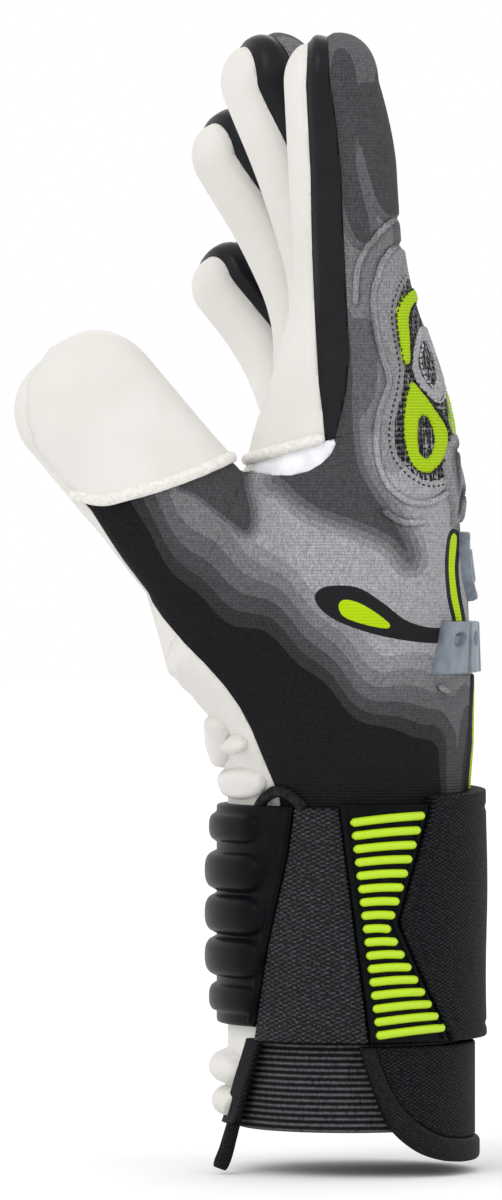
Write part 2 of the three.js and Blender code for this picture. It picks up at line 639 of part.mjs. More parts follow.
// ---------------------------------------------------------------- trim below the strap
// The stiff tab at the heel of the cuff, on the back, and the tape that binds its lower edge.
const heelSide = (outline) => sidePrism(outline, -FAR, FAR);
const heelTop = HEEL.outline[0][1];
const heelPanel = (shift, top) => {
  const seam = HEEL.seam.map(([x, z]) => [x - shift, z - shift]);
  return heelSide([...seam, [HEEL.seam.at(-1)[0], top], [seam[0][0], top]]);
};
piece(
  "heel_tab",
  cuffTube(GAP, HEEL.panel, -FAR / 10, HEEL.top).intersect(heelPanel(0, heelTop + 1)),
  MATERIALS.knitDark,
);
piece(
  "heel_tab_binding",
  cuffTube(GAP, HEEL.binding, -FAR / 10, HEEL.top)
    .intersect(heelSide(HEEL.outline))
    .subtract(heelPanel(GAP, heelTop + 16)),
  MATERIALS.gusset,
);

// Tape at the palm edge of the bandage, and the pull loop that hangs from it.
piece(
  "cuff_edge_tape",
  cuffTube(TAPE.inner, TAPE.outer, 0, HEEL.top)
    .intersect(thumbSide(TAPE.outline))
    .subtract(wristRolls(GAP)),
  MATERIALS.gusset,
);
const loopRings = LOOP.path.map((p, i) => {
  return ring(vec(p), X, LOOP.halfX[i], Y, LOOP.halfY[i], SIDES.loop, LOOP.power);
});
piece("pull_loop", loft(loopRings), MATERIALS.gusset);

export default group;
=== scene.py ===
"""Right-hand goalkeeper glove. Lengths are millimetres until a mesh is made, and MM turns them into metres.

The hand, the fingers and the thumb are one smooth form, given by a distance field and meshed on a grid.
That skin is cut along the seams into panels, and each panel becomes a closed sheet of its own.
The strap and the cuff are sheets wrapped round the cuff's ellipse.
"""
import math

import bpy
import numpy as np
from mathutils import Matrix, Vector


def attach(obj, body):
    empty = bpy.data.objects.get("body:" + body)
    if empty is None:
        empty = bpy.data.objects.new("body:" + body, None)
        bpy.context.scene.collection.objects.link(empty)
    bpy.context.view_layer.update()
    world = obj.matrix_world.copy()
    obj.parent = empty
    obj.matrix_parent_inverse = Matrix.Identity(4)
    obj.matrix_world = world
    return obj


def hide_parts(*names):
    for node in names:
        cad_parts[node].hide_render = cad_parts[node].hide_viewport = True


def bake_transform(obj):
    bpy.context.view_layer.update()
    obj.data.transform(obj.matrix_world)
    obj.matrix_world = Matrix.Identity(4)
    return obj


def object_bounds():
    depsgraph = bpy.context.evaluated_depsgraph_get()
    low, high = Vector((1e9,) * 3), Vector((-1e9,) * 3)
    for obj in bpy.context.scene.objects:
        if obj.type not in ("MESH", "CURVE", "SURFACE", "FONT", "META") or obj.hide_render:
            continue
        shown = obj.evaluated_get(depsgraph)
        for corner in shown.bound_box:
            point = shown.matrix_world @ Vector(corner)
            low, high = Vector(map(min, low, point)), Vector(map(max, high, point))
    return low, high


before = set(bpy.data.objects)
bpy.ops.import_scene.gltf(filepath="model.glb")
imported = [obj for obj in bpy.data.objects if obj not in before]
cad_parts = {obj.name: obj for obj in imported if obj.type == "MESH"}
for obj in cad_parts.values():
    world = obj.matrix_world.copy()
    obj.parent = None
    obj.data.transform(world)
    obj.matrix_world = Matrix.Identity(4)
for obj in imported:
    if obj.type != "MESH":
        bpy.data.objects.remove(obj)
CAD_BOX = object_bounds()
MM = 0.001

# ------------------------------------------------------------------ driving dimensions
STEP = 1.1  # pitch of the grid that the skin is meshed on
CUFF_X, CUFF_Y = 28.5, 33.5  # half sizes of the cuff's ellipse

# Sections of the hand: height, centre in X, half depth, half breadth, power of the section.
HAND = np.array([
    [76, 0.2, 28.8, 33.8, 2.0],
    [84.3, 0.3, 30.4, 35, 2.2],
    [97, -1.4, 33, 38.5, 2.5],
    [112, -1.6, 33.4, 43, 2.5],
    [134, 0.8, 30.2, 48.5, 2.5],
    [158, 0.4, 27.6, 51.5, 2.5],
    [190, 0.2, 25.2, 51.5, 2.5],
])
WEB_TOP, WEB_ROUND, WEB_DROP = 160, 14, 8  # where the hand closes between the fingers

# A finger's path, its half sizes, how its palm side is turned, its room in Y, and its knuckle's height.
FINGERS = {
    "index": dict(
        path=[(3, -37.5, 138), (3, -38, 158), (3, -38, 182), (0.5, -39.5, 210),
              (-1.4, -41.5, 235), (-3, -44, 264.6)],
        depth=13.7, breadth=12.1, roll=0, slot=(-90, -25.4), knuckle=165, cut=174.3, flare=15.5, taper=0.25,
    ),
    "middle": dict(
        path=[(4, -12.6, 138), (4, -12.6, 158), (4, -12.6, 182), (-1.5, -12.8, 215), (-9.6, -12.9, 243),
              (-19.2, -13, 267)],
        depth=13.4, breadth=12.2, roll=18, slot=(-25.4, 0.2), knuckle=165, cut=174.3, flare=15.5, taper=0.12,
    ),
    "ring": dict(
        path=[(1, 12.8, 136), (0, 12.8, 158), (0, 12.8, 180), (-5.4, 12.9, 206),
              (-15.5, 13, 230), (-27.3, 13.1, 250)],
        depth=12.9, breadth=12.1, roll=26, slot=(0.2, 25.4), knuckle=162, cut=172, flare=13, taper=0.12,
    ),
    "little": dict(
        path=[(-1, 36, 134), (-3, 37, 156), (-5, 37, 176), (-12.6, 39.6, 194),
              (-20, 42, 206), (-29, 44.4, 217.6)],
        depth=11.6, breadth=11.2, roll=30, slot=(25.4, 90), knuckle=154, cut=165.5, flare=8, taper=0.12,
    ),
}
BACK_FLARE, FLARE_LENGTH = 9.5, 58  # how much deeper a finger is on its back at its knuckle
TIP_LENGTH = 22  # the back of a fingertip slopes towards the palm
SUNK_DEPTH, SUNK_LENGTH = 20, 26  # the finger's root lies inside the hand
FINGER_POWER = 2.2
CUT_SLOPE = 0.276  # the plane that parts a finger from the hand climbs this much towards the back

THUMB_BASE, THUMB_HINGE = np.array([-14, -25, 112.0]), np.array([-36.8, -45, 148.0])
THUMB_MID, THUMB_TIP = np.array([-50.8, -50, 164.6]), np.array([-65.6, -51.5, 182.2])
THUMB_BREADTH, THUMB_DEPTH, THUMB_POWER = 18.6, 13.6, 2.3
THENAR_BREADTH, THENAR_BULGE, THENAR_DEPTH = 21, 25.3, 17
THUMB_FOLD = dict(at=np.array([-26, 0, 166.0]), across=np.array([-0.917, 0, 0.399]), length=25)

# Seams in X and Z, as the thumb side shows them.
LATEX_EDGE = [
    (-17.4, 74), (-18.2, 83.6), (-22.5, 94), (-25.3, 101), (-28.1, 106.6), (-31.6, 111.6),
    (-36.5, 117.2), (-42.1, 122.8), (-47.7, 129.1), (-54.7, 138.9), (-60.6, 148), (-65.5, 156),
    (-72, 163), (-79, 171), (-81.6, 180), (-81.4, 189), (-76.5, 198), (-66, 203.5), (-40, 215),
    (80, 215), (80, 74),
]
THUMB_HEM = [
    (-100, 172), (-76, 164.2), (-71, 161.2), (-62, 158.8), (-49, 162.2), (-38, 166.2), (-27.8, 170.8),
    (-10, 180),
]
LINER_EDGE = [
    (-27.8, 168), (-24, 166.4), (-20, 165.5), (-15.2, 165.4), (-11, 166.4), (-7.6, 168.2),
    (-5, 170.4), (-3.6, 173), (-4.6, 176), (-27.8, 171),
]

# ------------------------------------------------------------------ numbers and curves
def smooth(t):
    """0 to 1 with level ends."""
    t = np.clip(t, 0, 1)
    return t * t * (3 - 2 * t)


def mix(a, b, t):
    return a + (b - a) * t


def unit(v):
    return v / np.maximum(np.linalg.norm(v, axis=-1, keepdims=True), 1e-9)


def arc_length(points):
    """The length along a line at each of its points."""
    return np.concatenate([[0], np.cumsum(np.linalg.norm(np.diff(points, axis=0), axis=1))])


def curve_through(points, count):
    """Evenly spaced points of a smooth curve through the given ones."""
    p = np.array(points, float)
    p = np.vstack([2 * p[0] - p[1], p, 2 * p[-1] - p[-2]])
    dense = []
    for a, b, c, d in zip(p, p[1:], p[2:], p[3:]):
        t = np.linspace(0, 1, 16, endpoint=False)[:, None]
        square = 2 * a - 5 * b + 4 * c - d
        cube = 3 * b - a - 3 * c + d
        dense.append(0.5 * (2 * b + (c - a) * t + square * t**2 + cube * t**3))
    dense = np.vstack([*dense, p[-2:-1]])
    length = arc_length(dense)
    at = np.linspace(0, length[-1], count)
    return np.stack([np.interp(at, length, dense[:, i]) for i in range(dense.shape[1])], axis=1)


def line_distance(p, line, closed=False):
    """Distance in the plane from points to a polyline."""
    line = np.array(line, float)
    if closed:
        line = np.vstack([line, line[:1]])
    best = np.full(len(p), 1e9)
    for a, b in zip(line, line[1:]):
        v = b - a
        t = np.clip(((p - a) @ v) / max(v @ v, 1e-12), 0, 1)
        best = np.minimum(best, np.linalg.norm(p - a - t[:, None] * v, axis=1))
    return best


def shape_distance(p, outline):
    """Signed distance in the plane to a closed outline, positive inside."""
    inside = np.zeros(len(p), bool)
    outline = np.array(outline, float)
    for (xa, ya), (xb, yb) in zip(outline, np.roll(outline, -1, axis=0)):
        if ya == yb:
            continue
        crosses = (p[:, 1] < max(ya, yb)) & (p[:, 1] >= min(ya, yb))
        inside ^= crosses & (p[:, 0] < xa + (p[:, 1] - ya) * (xb - xa) / (yb - ya))
    return np.where(inside, 1, -1) * line_distance(p, outline, closed=True)


def rounded(points, count=48):
    """A closed outline smoothed through its points."""
    p = np.array(points, float)
    looped = curve_through(np.vstack([p[-2:], p, p[:2]]), count * 2)
    length = arc_length(looped)
    from_start = np.linalg.norm(looped - p[0], axis=1)
    first = np.argmin(from_start[:count])
    last = len(looped) - 1 - np.argmin(from_start[::-1][:count])
    at = np.linspace(length[first], length[last], count, endpoint=False)
    return np.stack([np.interp(at, length, looped[:, i]) for i in range(2)], axis=1)


def rectangle(low_u, low_v, high_u, high_v):
    return [(low_u, low_v), (high_u, low_v), (high_u, high_v), (low_u, high_v)]


# ------------------------------------------------------------------ the skin's distance field
def make_frame(finger):
    """Stations along a finger: point, direction, towards the palm, sideways and arc length."""
    points = curve_through(finger["path"], 30)
    direction = unit(np.gradient(points, axis=0))
    roll = math.radians(finger["roll"])
    palm = np.array([-math.cos(roll), -math.sin(roll), 0.0])
    palm = unit(palm - (direction @ palm)[:, None] * direction)
    finger["frame"] = (points, direction, palm, np.cross(direction, palm))


for finger in FINGERS.values():
    make_frame(finger)


def finger_place(p, finger):
    """Where points lie by a finger: the path's height there, depth to the palm, sideways, past its end."""
    points, direction, palm, side = finger["frame"]
    best = np.full(len(p), 1e18)
    at = np.zeros(len(p))
    for i, (a, b) in enumerate(zip(points, points[1:])):
        v = b - a
        t = np.clip(((p - a) @ v) / (v @ v), 0, 1)
        away = ((p - a - t[:, None] * v) ** 2).sum(axis=1)
        better = away < best
        best[better] = away[better]
        at[better] = i + t[better]
    low = np.minimum(at.astype(int), len(points) - 2)
    t = (at - low)[:, None]
    here = [mix(values[low], values[low + 1], t) for values in (points, direction, palm, side)]
    off = p - here[0]
    past, depth, side = [(off * axis).sum(axis=1) for axis in here[1:]]
    return here[0][:, 2], depth, side, past


def shell_distance(parts, power):
    """Distance to a superelliptic form, from offsets and half sizes."""
    reach = sum(np.abs(offset / half) ** power for offset, half in parts) ** (1 / power)
    length = np.sqrt(sum(offset**2 for offset, _ in parts))
    return length * (1 - 1 / np.maximum(reach, 1e-6))


def finger_distance(p, finger):
    height, depth, side, past = finger_place(p, finger)
    flare = 1 - smooth((height - finger["knuckle"]) / FLARE_LENGTH)
    sunk = smooth((height - finger["knuckle"] + SUNK_LENGTH) / SUNK_LENGTH)
    tip = finger["path"][-1][2]
    slope = 1 - finger["taper"] * np.clip((height - tip) / TIP_LENGTH + 1, 0, 1) ** 1.6
    palm = mix(SUNK_DEPTH, finger["depth"] + finger["flare"] * flare, sunk)
    back = mix(SUNK_DEPTH, finger["depth"] * slope + BACK_FLARE * flare, sunk)
    parts = [
        (depth, np.where(depth > 0, palm, back)),
        (side, finger["breadth"]),
        (past, finger["depth"] - 1),
    ]
    return shell_distance(parts, FINGER_POWER)


def hand_distance(p):
    centre, half_x, half_y, power = [np.interp(p[:, 2], HAND[:, 0], HAND[:, i]) for i in range(1, 5)]
    top = WEB_TOP - WEB_DROP * smooth((p[:, 1] - 18) / 14)
    over = np.maximum(p[:, 2] - top, 0) / WEB_ROUND
    off = p[:, 0] - centre
    reach = (np.abs(off / half_x) ** power + np.abs(p[:, 1] / half_y) ** power + over**power) ** (1 / power)
    length = np.sqrt(off**2 + p[:, 1] ** 2 + (over * WEB_ROUND) ** 2)
    return length * (1 - 1 / np.maximum(reach, 1e-6))


THUMB_ALONG = unit((THUMB_TIP - THUMB_HINGE) * np.array([1, 0, 1]))
THUMB_ACROSS = np.array([THUMB_ALONG[2], 0, -THUMB_ALONG[0]])
THUMB_ROOT = mix(THUMB_BASE, THUMB_HINGE, 0.55)
THUMB_STATIONS = np.array([THUMB_BASE, THUMB_ROOT, THUMB_HINGE, THUMB_MID, THUMB_TIP])
THUMB_AT = (THUMB_STATIONS - THUMB_TIP) @ THUMB_ALONG


def thumb_distance(p):
    s = (p - THUMB_TIP) @ THUMB_ALONG
    centre = np.stack([np.interp(s, THUMB_AT, THUMB_STATIONS[:, i]) for i in range(3)], axis=1)
    breadths = [THENAR_BREADTH, THENAR_BULGE, THUMB_BREADTH + 0.6, THUMB_BREADTH, THUMB_BREADTH]
    depths = [THENAR_DEPTH, THENAR_DEPTH, THUMB_DEPTH + 1, THUMB_DEPTH, THUMB_DEPTH]
    past = np.maximum(s, 0) + np.minimum(s - THUMB_AT[0], 0)
    return shell_distance(
        [
            ((p - centre) @ THUMB_ACROSS, np.interp(s, THUMB_AT, breadths)),
            (p[:, 1] - centre[:, 1], np.interp(s, THUMB_AT, depths)),
            (past, THUMB_BREADTH - 1),
        ],
        THUMB_POWER,
    )


def joined(a, b, fillet):
    """The union of two distances with a fillet."""
    h = np.clip(0.5 + 0.5 * (b - a) / fillet, 0, 1)
    return mix(b, a, h) - fillet * h * (1 - h)


HAND_FILLET, FINGER_FILLET = 9, 6
FINGER_BELOW, FINGER_BESIDE, FINGER_FRONT = 40, 12, -62  # a finger is worked out only this near to it


def skin_distance(p, names):
    """The hand and the thumb with the named fingers."""
    base = joined(hand_distance(p), thumb_distance(p), HAND_FILLET)
    result = base.copy()
    for name in names:
        finger = FINGERS[name]
        low, high = finger["slot"]
        near = (p[:, 2] > finger["knuckle"] - FINGER_BELOW) & (p[:, 0] > FINGER_FRONT)
        near &= (p[:, 1] > low - FINGER_BESIDE) & (p[:, 1] < high + FINGER_BESIDE)
        if near.any():
            own = joined(base[near], finger_distance(p[near], finger), FINGER_FILLET)
            result[near] = np.minimum(result[near], own)
    return result


# ------------------------------------------------------------------ meshing, cutting and making objects
def skin_mesh(names, low, high, step=None):
    """The skin inside a box: vertices, outward normals and triangles, from a grid of distances."""
    step = step or STEP
    axes = [np.arange(math.floor(a / step), math.ceil(b / step) + 1) * step for a, b in zip(low, high)]
    grid = np.stack(np.meshgrid(*axes, indexing="ij"), axis=-1)
    shape = grid.shape[:3]
    flat = grid.reshape(-1, 3)
    chunks = np.array_split(flat, 12)  # keeps the memory in use small
    values = np.concatenate([skin_distance(chunk, names) for chunk in chunks]).reshape(shape)
    inside = values < 0
    cell_corners = [(i, j, k) for i in (0, 1) for j in (0, 1) for k in (0, 1)]

    def at_corner(array, corner):
        """The grid's values at one corner of every cell."""
        i, j, k = corner
        return array[i: shape[0] - 1 + i, j: shape[1] - 1 + j, k: shape[2] - 1 + k]

    count = sum(at_corner(inside, corner).astype(np.int8) for corner in cell_corners)
    active = np.argwhere((count > 0) & (count < 8))
    number = np.full([n - 1 for n in shape], -1)
    number[tuple(active.T)] = np.arange(len(active))
    total = np.zeros((len(active), 3))
    hits = np.zeros(len(active))
    for a in cell_corners:
        for axis in range(3):
            if a[axis]:
                continue
            b = tuple(1 if i == axis else a[i] for i in range(3))
            va = values[tuple((active + a).T)]
            vb = values[tuple((active + b).T)]
            crossing = (va < 0) != (vb < 0)
            t = np.where(crossing, va / np.where(crossing, va - vb, 1), 0)
            point = np.array(a, float) + t[:, None] * (np.array(b) - np.array(a))
            total[crossing] += point[crossing]
            hits[crossing] += 1
    start = np.array([axis[0] for axis in axes])
    verts = start + (active + total / hits[:, None]) * step
    quads = []
    for axis in range(3):
        u, v = (axis + 1) % 3, (axis + 2) % 3
        take_low = [slice(1, n - 1) for n in shape]
        take_low[axis] = slice(0, shape[axis] - 1)
        take_high = list(take_low)
        take_high[axis] = slice(1, shape[axis])
        first, second = inside[tuple(take_low)], inside[tuple(take_high)]
        where = np.argwhere(first != second)
        cell = where + np.array([0 if i == axis else 1 for i in range(3)])
        step_u, step_v = np.eye(3, dtype=int)[u], np.eye(3, dtype=int)[v]
        ring = [number[tuple((cell - shift).T)] for shift in (step_u + step_v, step_v, 0 * step_u, step_u)]
        quad = np.stack(ring, axis=1)
        outward = first[tuple(where.T)]
        quad[~outward] = quad[~outward][:, ::-1]
        quads.append(quad)
    quads = np.vstack(quads)
    quads = quads[(quads >= 0).all(axis=1)]
    tris = np.vstack([quads[:, [0, 1, 2]], quads[:, [0, 2, 3]]])
    for _ in range(2):
        normals, value = gradient(verts, names)
        verts = verts - normals * value[:, None]
    normals, _ = gradient(verts, names)
    return {"verts": verts, "normals": normals, "tris": tris}


def gradient(p, names, reach=0.4):
    """Outward unit normals of the skin at points, and the distance there."""
    value = skin_distance(p, names)
    steps_out = reach * np.eye(3)
    slope = np.stack([skin_distance(p + e, names) - skin_distance(p - e, names) for e in steps_out], axis=1)
    size = np.linalg.norm(slope, axis=1) / (2 * reach)
    return unit(slope), value / np.clip(size, 0.3, 3)


def take(mesh, keep):
    """The triangles that are kept, with their vertices renumbered."""
    tris = mesh["tris"][keep]
    used, index = np.unique(tris, return_inverse=True)
    out = {key: value[used] for key, value in mesh.items() if key != "tris"}
    out["tris"] = index.reshape(-1, 3)
    return out


def part(mesh, values):
    """Cuts a mesh along the zero line of values, and gives the positive part and the negative one."""
    values = np.where(np.abs(values) < 1e-3, 1e-3, values)
    tris = mesh["tris"]
    signs = values[tris] > 0
    whole = signs.all(axis=1) | (~signs).all(axis=1)
    mixed, flags = tris[~whole], signs[~whole]
    alone = np.argmax(np.where((flags.sum(axis=1) == 1)[:, None], flags, ~flags), axis=1)
    rows = np.arange(len(mixed))
    a, b, c = mixed[rows, alone], mixed[rows, (alone + 1) % 3], mixed[rows, (alone + 2) % 3]
    edges = np.sort(np.vstack([np.stack([a, b], 1), np.stack([a, c], 1)]), axis=1)
    unique, index = np.unique(edges, axis=0, return_inverse=True)
    index = index.reshape(-1)
    t = values[unique[:, 0]] / (values[unique[:, 0]] - values[unique[:, 1]])
    out = {}
    for key, data in mesh.items():
        if key == "tris":
            continue
        share = t if data.ndim == 1 else t[:, None]
        out[key] = np.concatenate([data, mix(data[unique[:, 0]], data[unique[:, 1]], share)])
    ab, ac = index[: len(mixed)] + len(values), index[len(mixed):] + len(values)
    split = [(a, ab, ac), (ab, b, c), (ab, c, ac)]
    out["tris"] = np.vstack([tris[whole], *(np.stack(three, 1) for three in split)])
    out["normals"] = unit(out["normals"])
    high = np.concatenate([values, np.zeros(len(unique))])[out["tris"]].sum(axis=1) > 0
    return take(out, high), take(out, ~high)


def border(tris):
    """Edges that only one triangle has, in its direction."""
    edges = np.vstack([tris[:, [0, 1]], tris[:, [1, 2]], tris[:, [2, 0]]])
    key = np.sort(edges, axis=1)
    _, index, count = np.unique(key, axis=0, return_index=True, return_counts=True)
    return edges[index[count == 1]]


def make_object(name, verts, faces, normals=None, looks=None, face_looks=None, data=None):
    """A Blender object from millimetres, with its materials and point attributes."""
    mesh = bpy.data.meshes.new(name)
    mesh.from_pydata((np.asarray(verts) * MM).tolist(), [], [list(map(int, f)) for f in faces])
    for key, values in (data or {}).items():
        layer = mesh.attributes.new(key, "FLOAT", "POINT")
        layer.data.foreach_set("value", np.asarray(values, np.float32))
    mesh.polygons.foreach_set("use_smooth", [True] * len(mesh.polygons))
    for look in looks or []:
        mesh.materials.append(look)
    if face_looks is not None:
        mesh.polygons.foreach_set("material_index", np.asarray(face_looks, np.int32))
    mesh.update()
    if normals is not None:
        mesh.normals_split_custom_set_from_vertices(normals.tolist())
    made = bpy.data.objects.new(name, mesh)
    bpy.context.scene.collection.objects.link(made)
    return made


def sheet_from(name, mesh, look, thick=2.0, rise=None, node=None):
    """A closed sheet: the panel's outer face raised by rise, its inner face, and the rim between."""
    verts, normals, tris = mesh["verts"], mesh["normals"], mesh["tris"]
    rise = np.zeros(len(verts)) if rise is None else rise
    outer = verts + normals * rise[:, None]
    inner = verts - normals * thick
    n = len(verts)
    rim = border(tris)
    walls = np.stack([rim[:, 1], rim[:, 0], rim[:, 0] + n, rim[:, 1] + n], axis=1)
    faces = [*tris.tolist(), *(tris[:, ::-1] + n).tolist(), *walls.tolist()]
    data = {key: np.concatenate([value, value]) for key, value in mesh.items() if value.ndim == 1}
    made = make_object(name, np.vstack([outer, inner]), faces, looks=[look], data=data)
    if node:
        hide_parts(*([node] if isinstance(node, str) else node))
    return made


def seam_dip(distances, depth=0.9, width=1.1):
    """How far a panel sinks beside its seams."""
    nearest = np.min(np.abs(np.stack(distances)), axis=0)
    return -depth * np.exp(-((nearest / width) ** 2))


# ------------------------------------------------------------------ materials
class Look:
    """A material with short calls for its nodes."""

    def __init__(self, name, colour, roughness, **sockets):
        self.material = bpy.data.materials.new(name)
        self.material.use_nodes = True
        self.tree = self.material.node_tree
        self.bsdf = self.tree.nodes["Principled BSDF"]
        self.bsdf.inputs["Base Color"].default_value = (*colour, 1)
        self.bsdf.inputs["Roughness"].default_value = roughness
        for key, value in sockets.items():
            self.bsdf.inputs[key.replace("_", " ")].default_value = value
        self.normal = None

    def node(self, kind, **values):
        made = self.tree.nodes.new(kind)
        for key, value in values.items():
            if hasattr(made, key):
                setattr(made, key, value)
            else:
                made.inputs[key].default_value = value
        return made

    def link(self, a, b):
        self.tree.links.new(a, b)

    def field(self, name):
        return self.node("ShaderNodeAttribute", attribute_name=name).outputs["Fac"]

    def math(self, operation, *values):
        made = self.node("ShaderNodeMath", operation=operation)
        for socket, value in zip(made.inputs, values):
            if isinstance(value, (int, float)):
                socket.default_value = value
            else:
                self.link(value, socket)
        return made.outputs[0]

    def noise(self, pitch, detail=2.0, stretch=(1, 1, 1)):
        """Noise whose features are about pitch millimetres across."""
        place = self.node("ShaderNodeTexCoord")
        scale = self.node("ShaderNodeMapping", vector_type="POINT")
        scale.inputs["Scale"].default_value = stretch
        self.link(place.outputs["Object"], scale.inputs["Vector"])
        made = self.node("ShaderNodeTexNoise", Scale=1 / (pitch * MM), Detail=detail)
        self.link(scale.outputs["Vector"], made.inputs["Vector"])
        return made.outputs["Fac"]

    def ramp(self, value, stops, sharp=False):
        made = self.node("ShaderNodeValToRGB")
        band = made.color_ramp
        band.interpolation = "CONSTANT" if sharp else "LINEAR"
        while len(band.elements) < len(stops):
            band.elements.new(0.5)
        for element, (at, colour) in zip(band.elements, stops):
            element.position = at
            element.color = (*colour, 1) if len(colour) == 3 else colour
        self.link(value, made.inputs["Fac"])
        return made.outputs["Color"]

    def blend(self, mode, factor, a, b):
        made = self.node("ShaderNodeMix", data_type="RGBA", blend_type=mode)
        for key, value in (("Factor", factor), ("A", a), ("B", b)):
            sockets = [s for s in made.inputs if s.name == key and s.enabled]
            socket = sockets[0]
            if isinstance(value, (int, float)):
                socket.default_value = value
            elif isinstance(value, tuple):
                socket.default_value = (*value, 1)
            else:
                self.link(value, socket)
        return [s for s in made.outputs if s.enabled][0]

    def colour(self, value):
        self.link(value, self.bsdf.inputs["Base Color"])

    def bump(self, height, rise, strength=1.0):
        """Adds relief of the given height in millimetres."""
        made = self.node("ShaderNodeBump", Strength=strength, Distance=rise * MM)
        self.link(height, made.inputs["Height"])
        if self.normal is not None:
            self.link(self.normal, made.inputs["Normal"])
        self.normal = made.outputs["Normal"]
        self.link(self.normal, self.bsdf.inputs["Normal"])


def stitches(look, pitch_u, pitch_v):
    """Rows of knitted loops from the cloth coordinates u and v."""
    turn = 2 * math.pi
    u = look.math("MULTIPLY", look.field("cloth_u"), turn / pitch_u)
    v = look.math("MULTIPLY", look.field("cloth_v"), turn / pitch_v)
    leg = look.math("ABSOLUTE", look.math("SINE", u))
    row = look.math("SINE", look.math("ADD", v, look.math("MULTIPLY", leg, 1.6)))
    return look.math("MULTIPLY", look.math("ADD", row, 1.0), look.math("ADD", leg, 0.35))


def make_latex():
    look = Look("latex", (0.7, 0.68, 0.65), 0.6, Specular_IOR_Level=0.3, Subsurface_Weight=0.08)
    look.bsdf.inputs["Subsurface Radius"].default_value = (0.003, 0.002, 0.0015)
    tone = look.ramp(look.noise(22, 3), [(0.3, (0.66, 0.64, 0.605)), (0.7, (0.72, 0.7, 0.67))])
    look.colour(tone)
    look.bump(look.noise(0.5, 4), 0.05, 0.6)
    look.bump(look.noise(9, 3), 0.5, 0.35)
    return look.material


def make_hem():
    look = Look("foam hem", (0.8, 0.78, 0.73), 0.85, Sheen_Weight=0.3)
    look.colour(look.ramp(look.noise(1.1, 4), [(0.3, (0.66, 0.63, 0.58)), (0.6, (0.78, 0.76, 0.72))]))
    look.bump(look.noise(0.6, 5), 0.3, 0.9)
    return look.material


def make_liner():
    look = Look("liner", (0.82, 0.82, 0.84), 0.75, Sheen_Weight=0.2)
    look.colour(look.ramp(look.noise(6, 2), [(0.3, (0.72, 0.72, 0.76)), (0.65, (0.9, 0.9, 0.92))]))
    look.bump(look.noise(0.4, 2), 0.06, 0.5)
    return look.material


SKIN = {}  # panels that trim follows
GREYS = [
    (0.0, (0.011, 0.011, 0.012)), (0.13, (0.034, 0.033, 0.036)), (0.25, (0.066, 0.064, 0.069)),
    (0.38, (0.12, 0.118, 0.125)), (0.52, (0.185, 0.182, 0.19)), (0.66, (0.26, 0.257, 0.268)),
    (0.8, (0.35, 0.347, 0.36)),
]
LIME = (0.44, 0.66, 0.006)
LOOP_SHADE = 0.4  # how strongly the knitted relief shows in a knit's colour, as painted shade between the loops and painted highlight on them


def make_knit():
    look = Look("knit", (0.1, 0.1, 0.1), 0.9, Specular_IOR_Level=0.12)
    tone = look.ramp(look.field("contour"), GREYS, sharp=True)
    grain = look.noise(0.42, 1, (1, 1, 0.4))
    fleck = look.ramp(grain, [(0.3, (0.62, 0.62, 0.63)), (0.7, (1.36, 1.36, 1.38))])
    tone = look.blend("MULTIPLY", 0.75, tone, fleck)
    dark = look.ramp(look.field("dark"), [(0.0, (0, 0, 0)), (0.5, (1, 1, 1))], sharp=True)
    tone = look.blend("MIX", dark, tone, (0.016, 0.016, 0.018))
    loops = stitches(look, 0.95, 0.8)
    # The knit's colour is painted darker between the loops and lighter on them: painted shade and highlight
    # that follow the knitted relief.
    painted_loop_shade = look.math("MULTIPLY", loops, LOOP_SHADE)
    shade = look.ramp(painted_loop_shade, [(0.0, (0.72, 0.72, 0.72)), (0.9, (1.25, 1.25, 1.25))])
    tone = look.blend("MULTIPLY", 0.6, tone, shade)
    lime = look.ramp(look.field("lime"), [(0.0, (0, 0, 0)), (0.5, (1, 1, 1))], sharp=True)
    look.colour(look.blend("MIX", lime, tone, LIME))
    look.bump(loops, 0.12, 0.7)
    return look.material


def make_plain(name, colour, roughness, grain, rise, **sockets):
    look = Look(name, colour, roughness, **sockets)
    dark = tuple(c * 0.75 for c in colour)
    light = tuple(min(1.0, c * 1.25) for c in colour)
    look.colour(look.ramp(look.noise(grain * 12, 3), [(0.3, dark), (0.7, light)]))
    look.bump(look.noise(grain, 4), rise, 0.7)
    return look.material


def make_weave(name, dark, light, roughness, pitch_u, pitch_v, rise, **sockets):
    """A woven band: rows of threads that pass over and under."""
    look = Look(name, dark, roughness, **sockets)
    turn = 2 * math.pi
    sway = look.math("MULTIPLY", look.noise(1.6, 2), 5.5)
    u = look.math("SINE", look.math("MULTIPLY_ADD", look.field("cloth_u"), turn / pitch_u, sway))
    v = look.math("SINE", look.math("MULTIPLY_ADD", look.field("cloth_v"), turn / pitch_v, sway))
    cross = look.math("MULTIPLY_ADD", look.math("MULTIPLY", u, v), 0.5, 0.5)
    # The colour is painted lighter on the raised thread crossings and darker in the gaps between them, as
    # painted highlight and shade, and varied by random flecks.
    crest_highlight_and_fleck = look.math("MULTIPLY", cross, look.noise(0.8, 3))
    look.colour(look.ramp(crest_highlight_and_fleck, [(0.2, dark), (0.62, light)]))
    look.bump(cross, rise, 0.9)
    return look.material


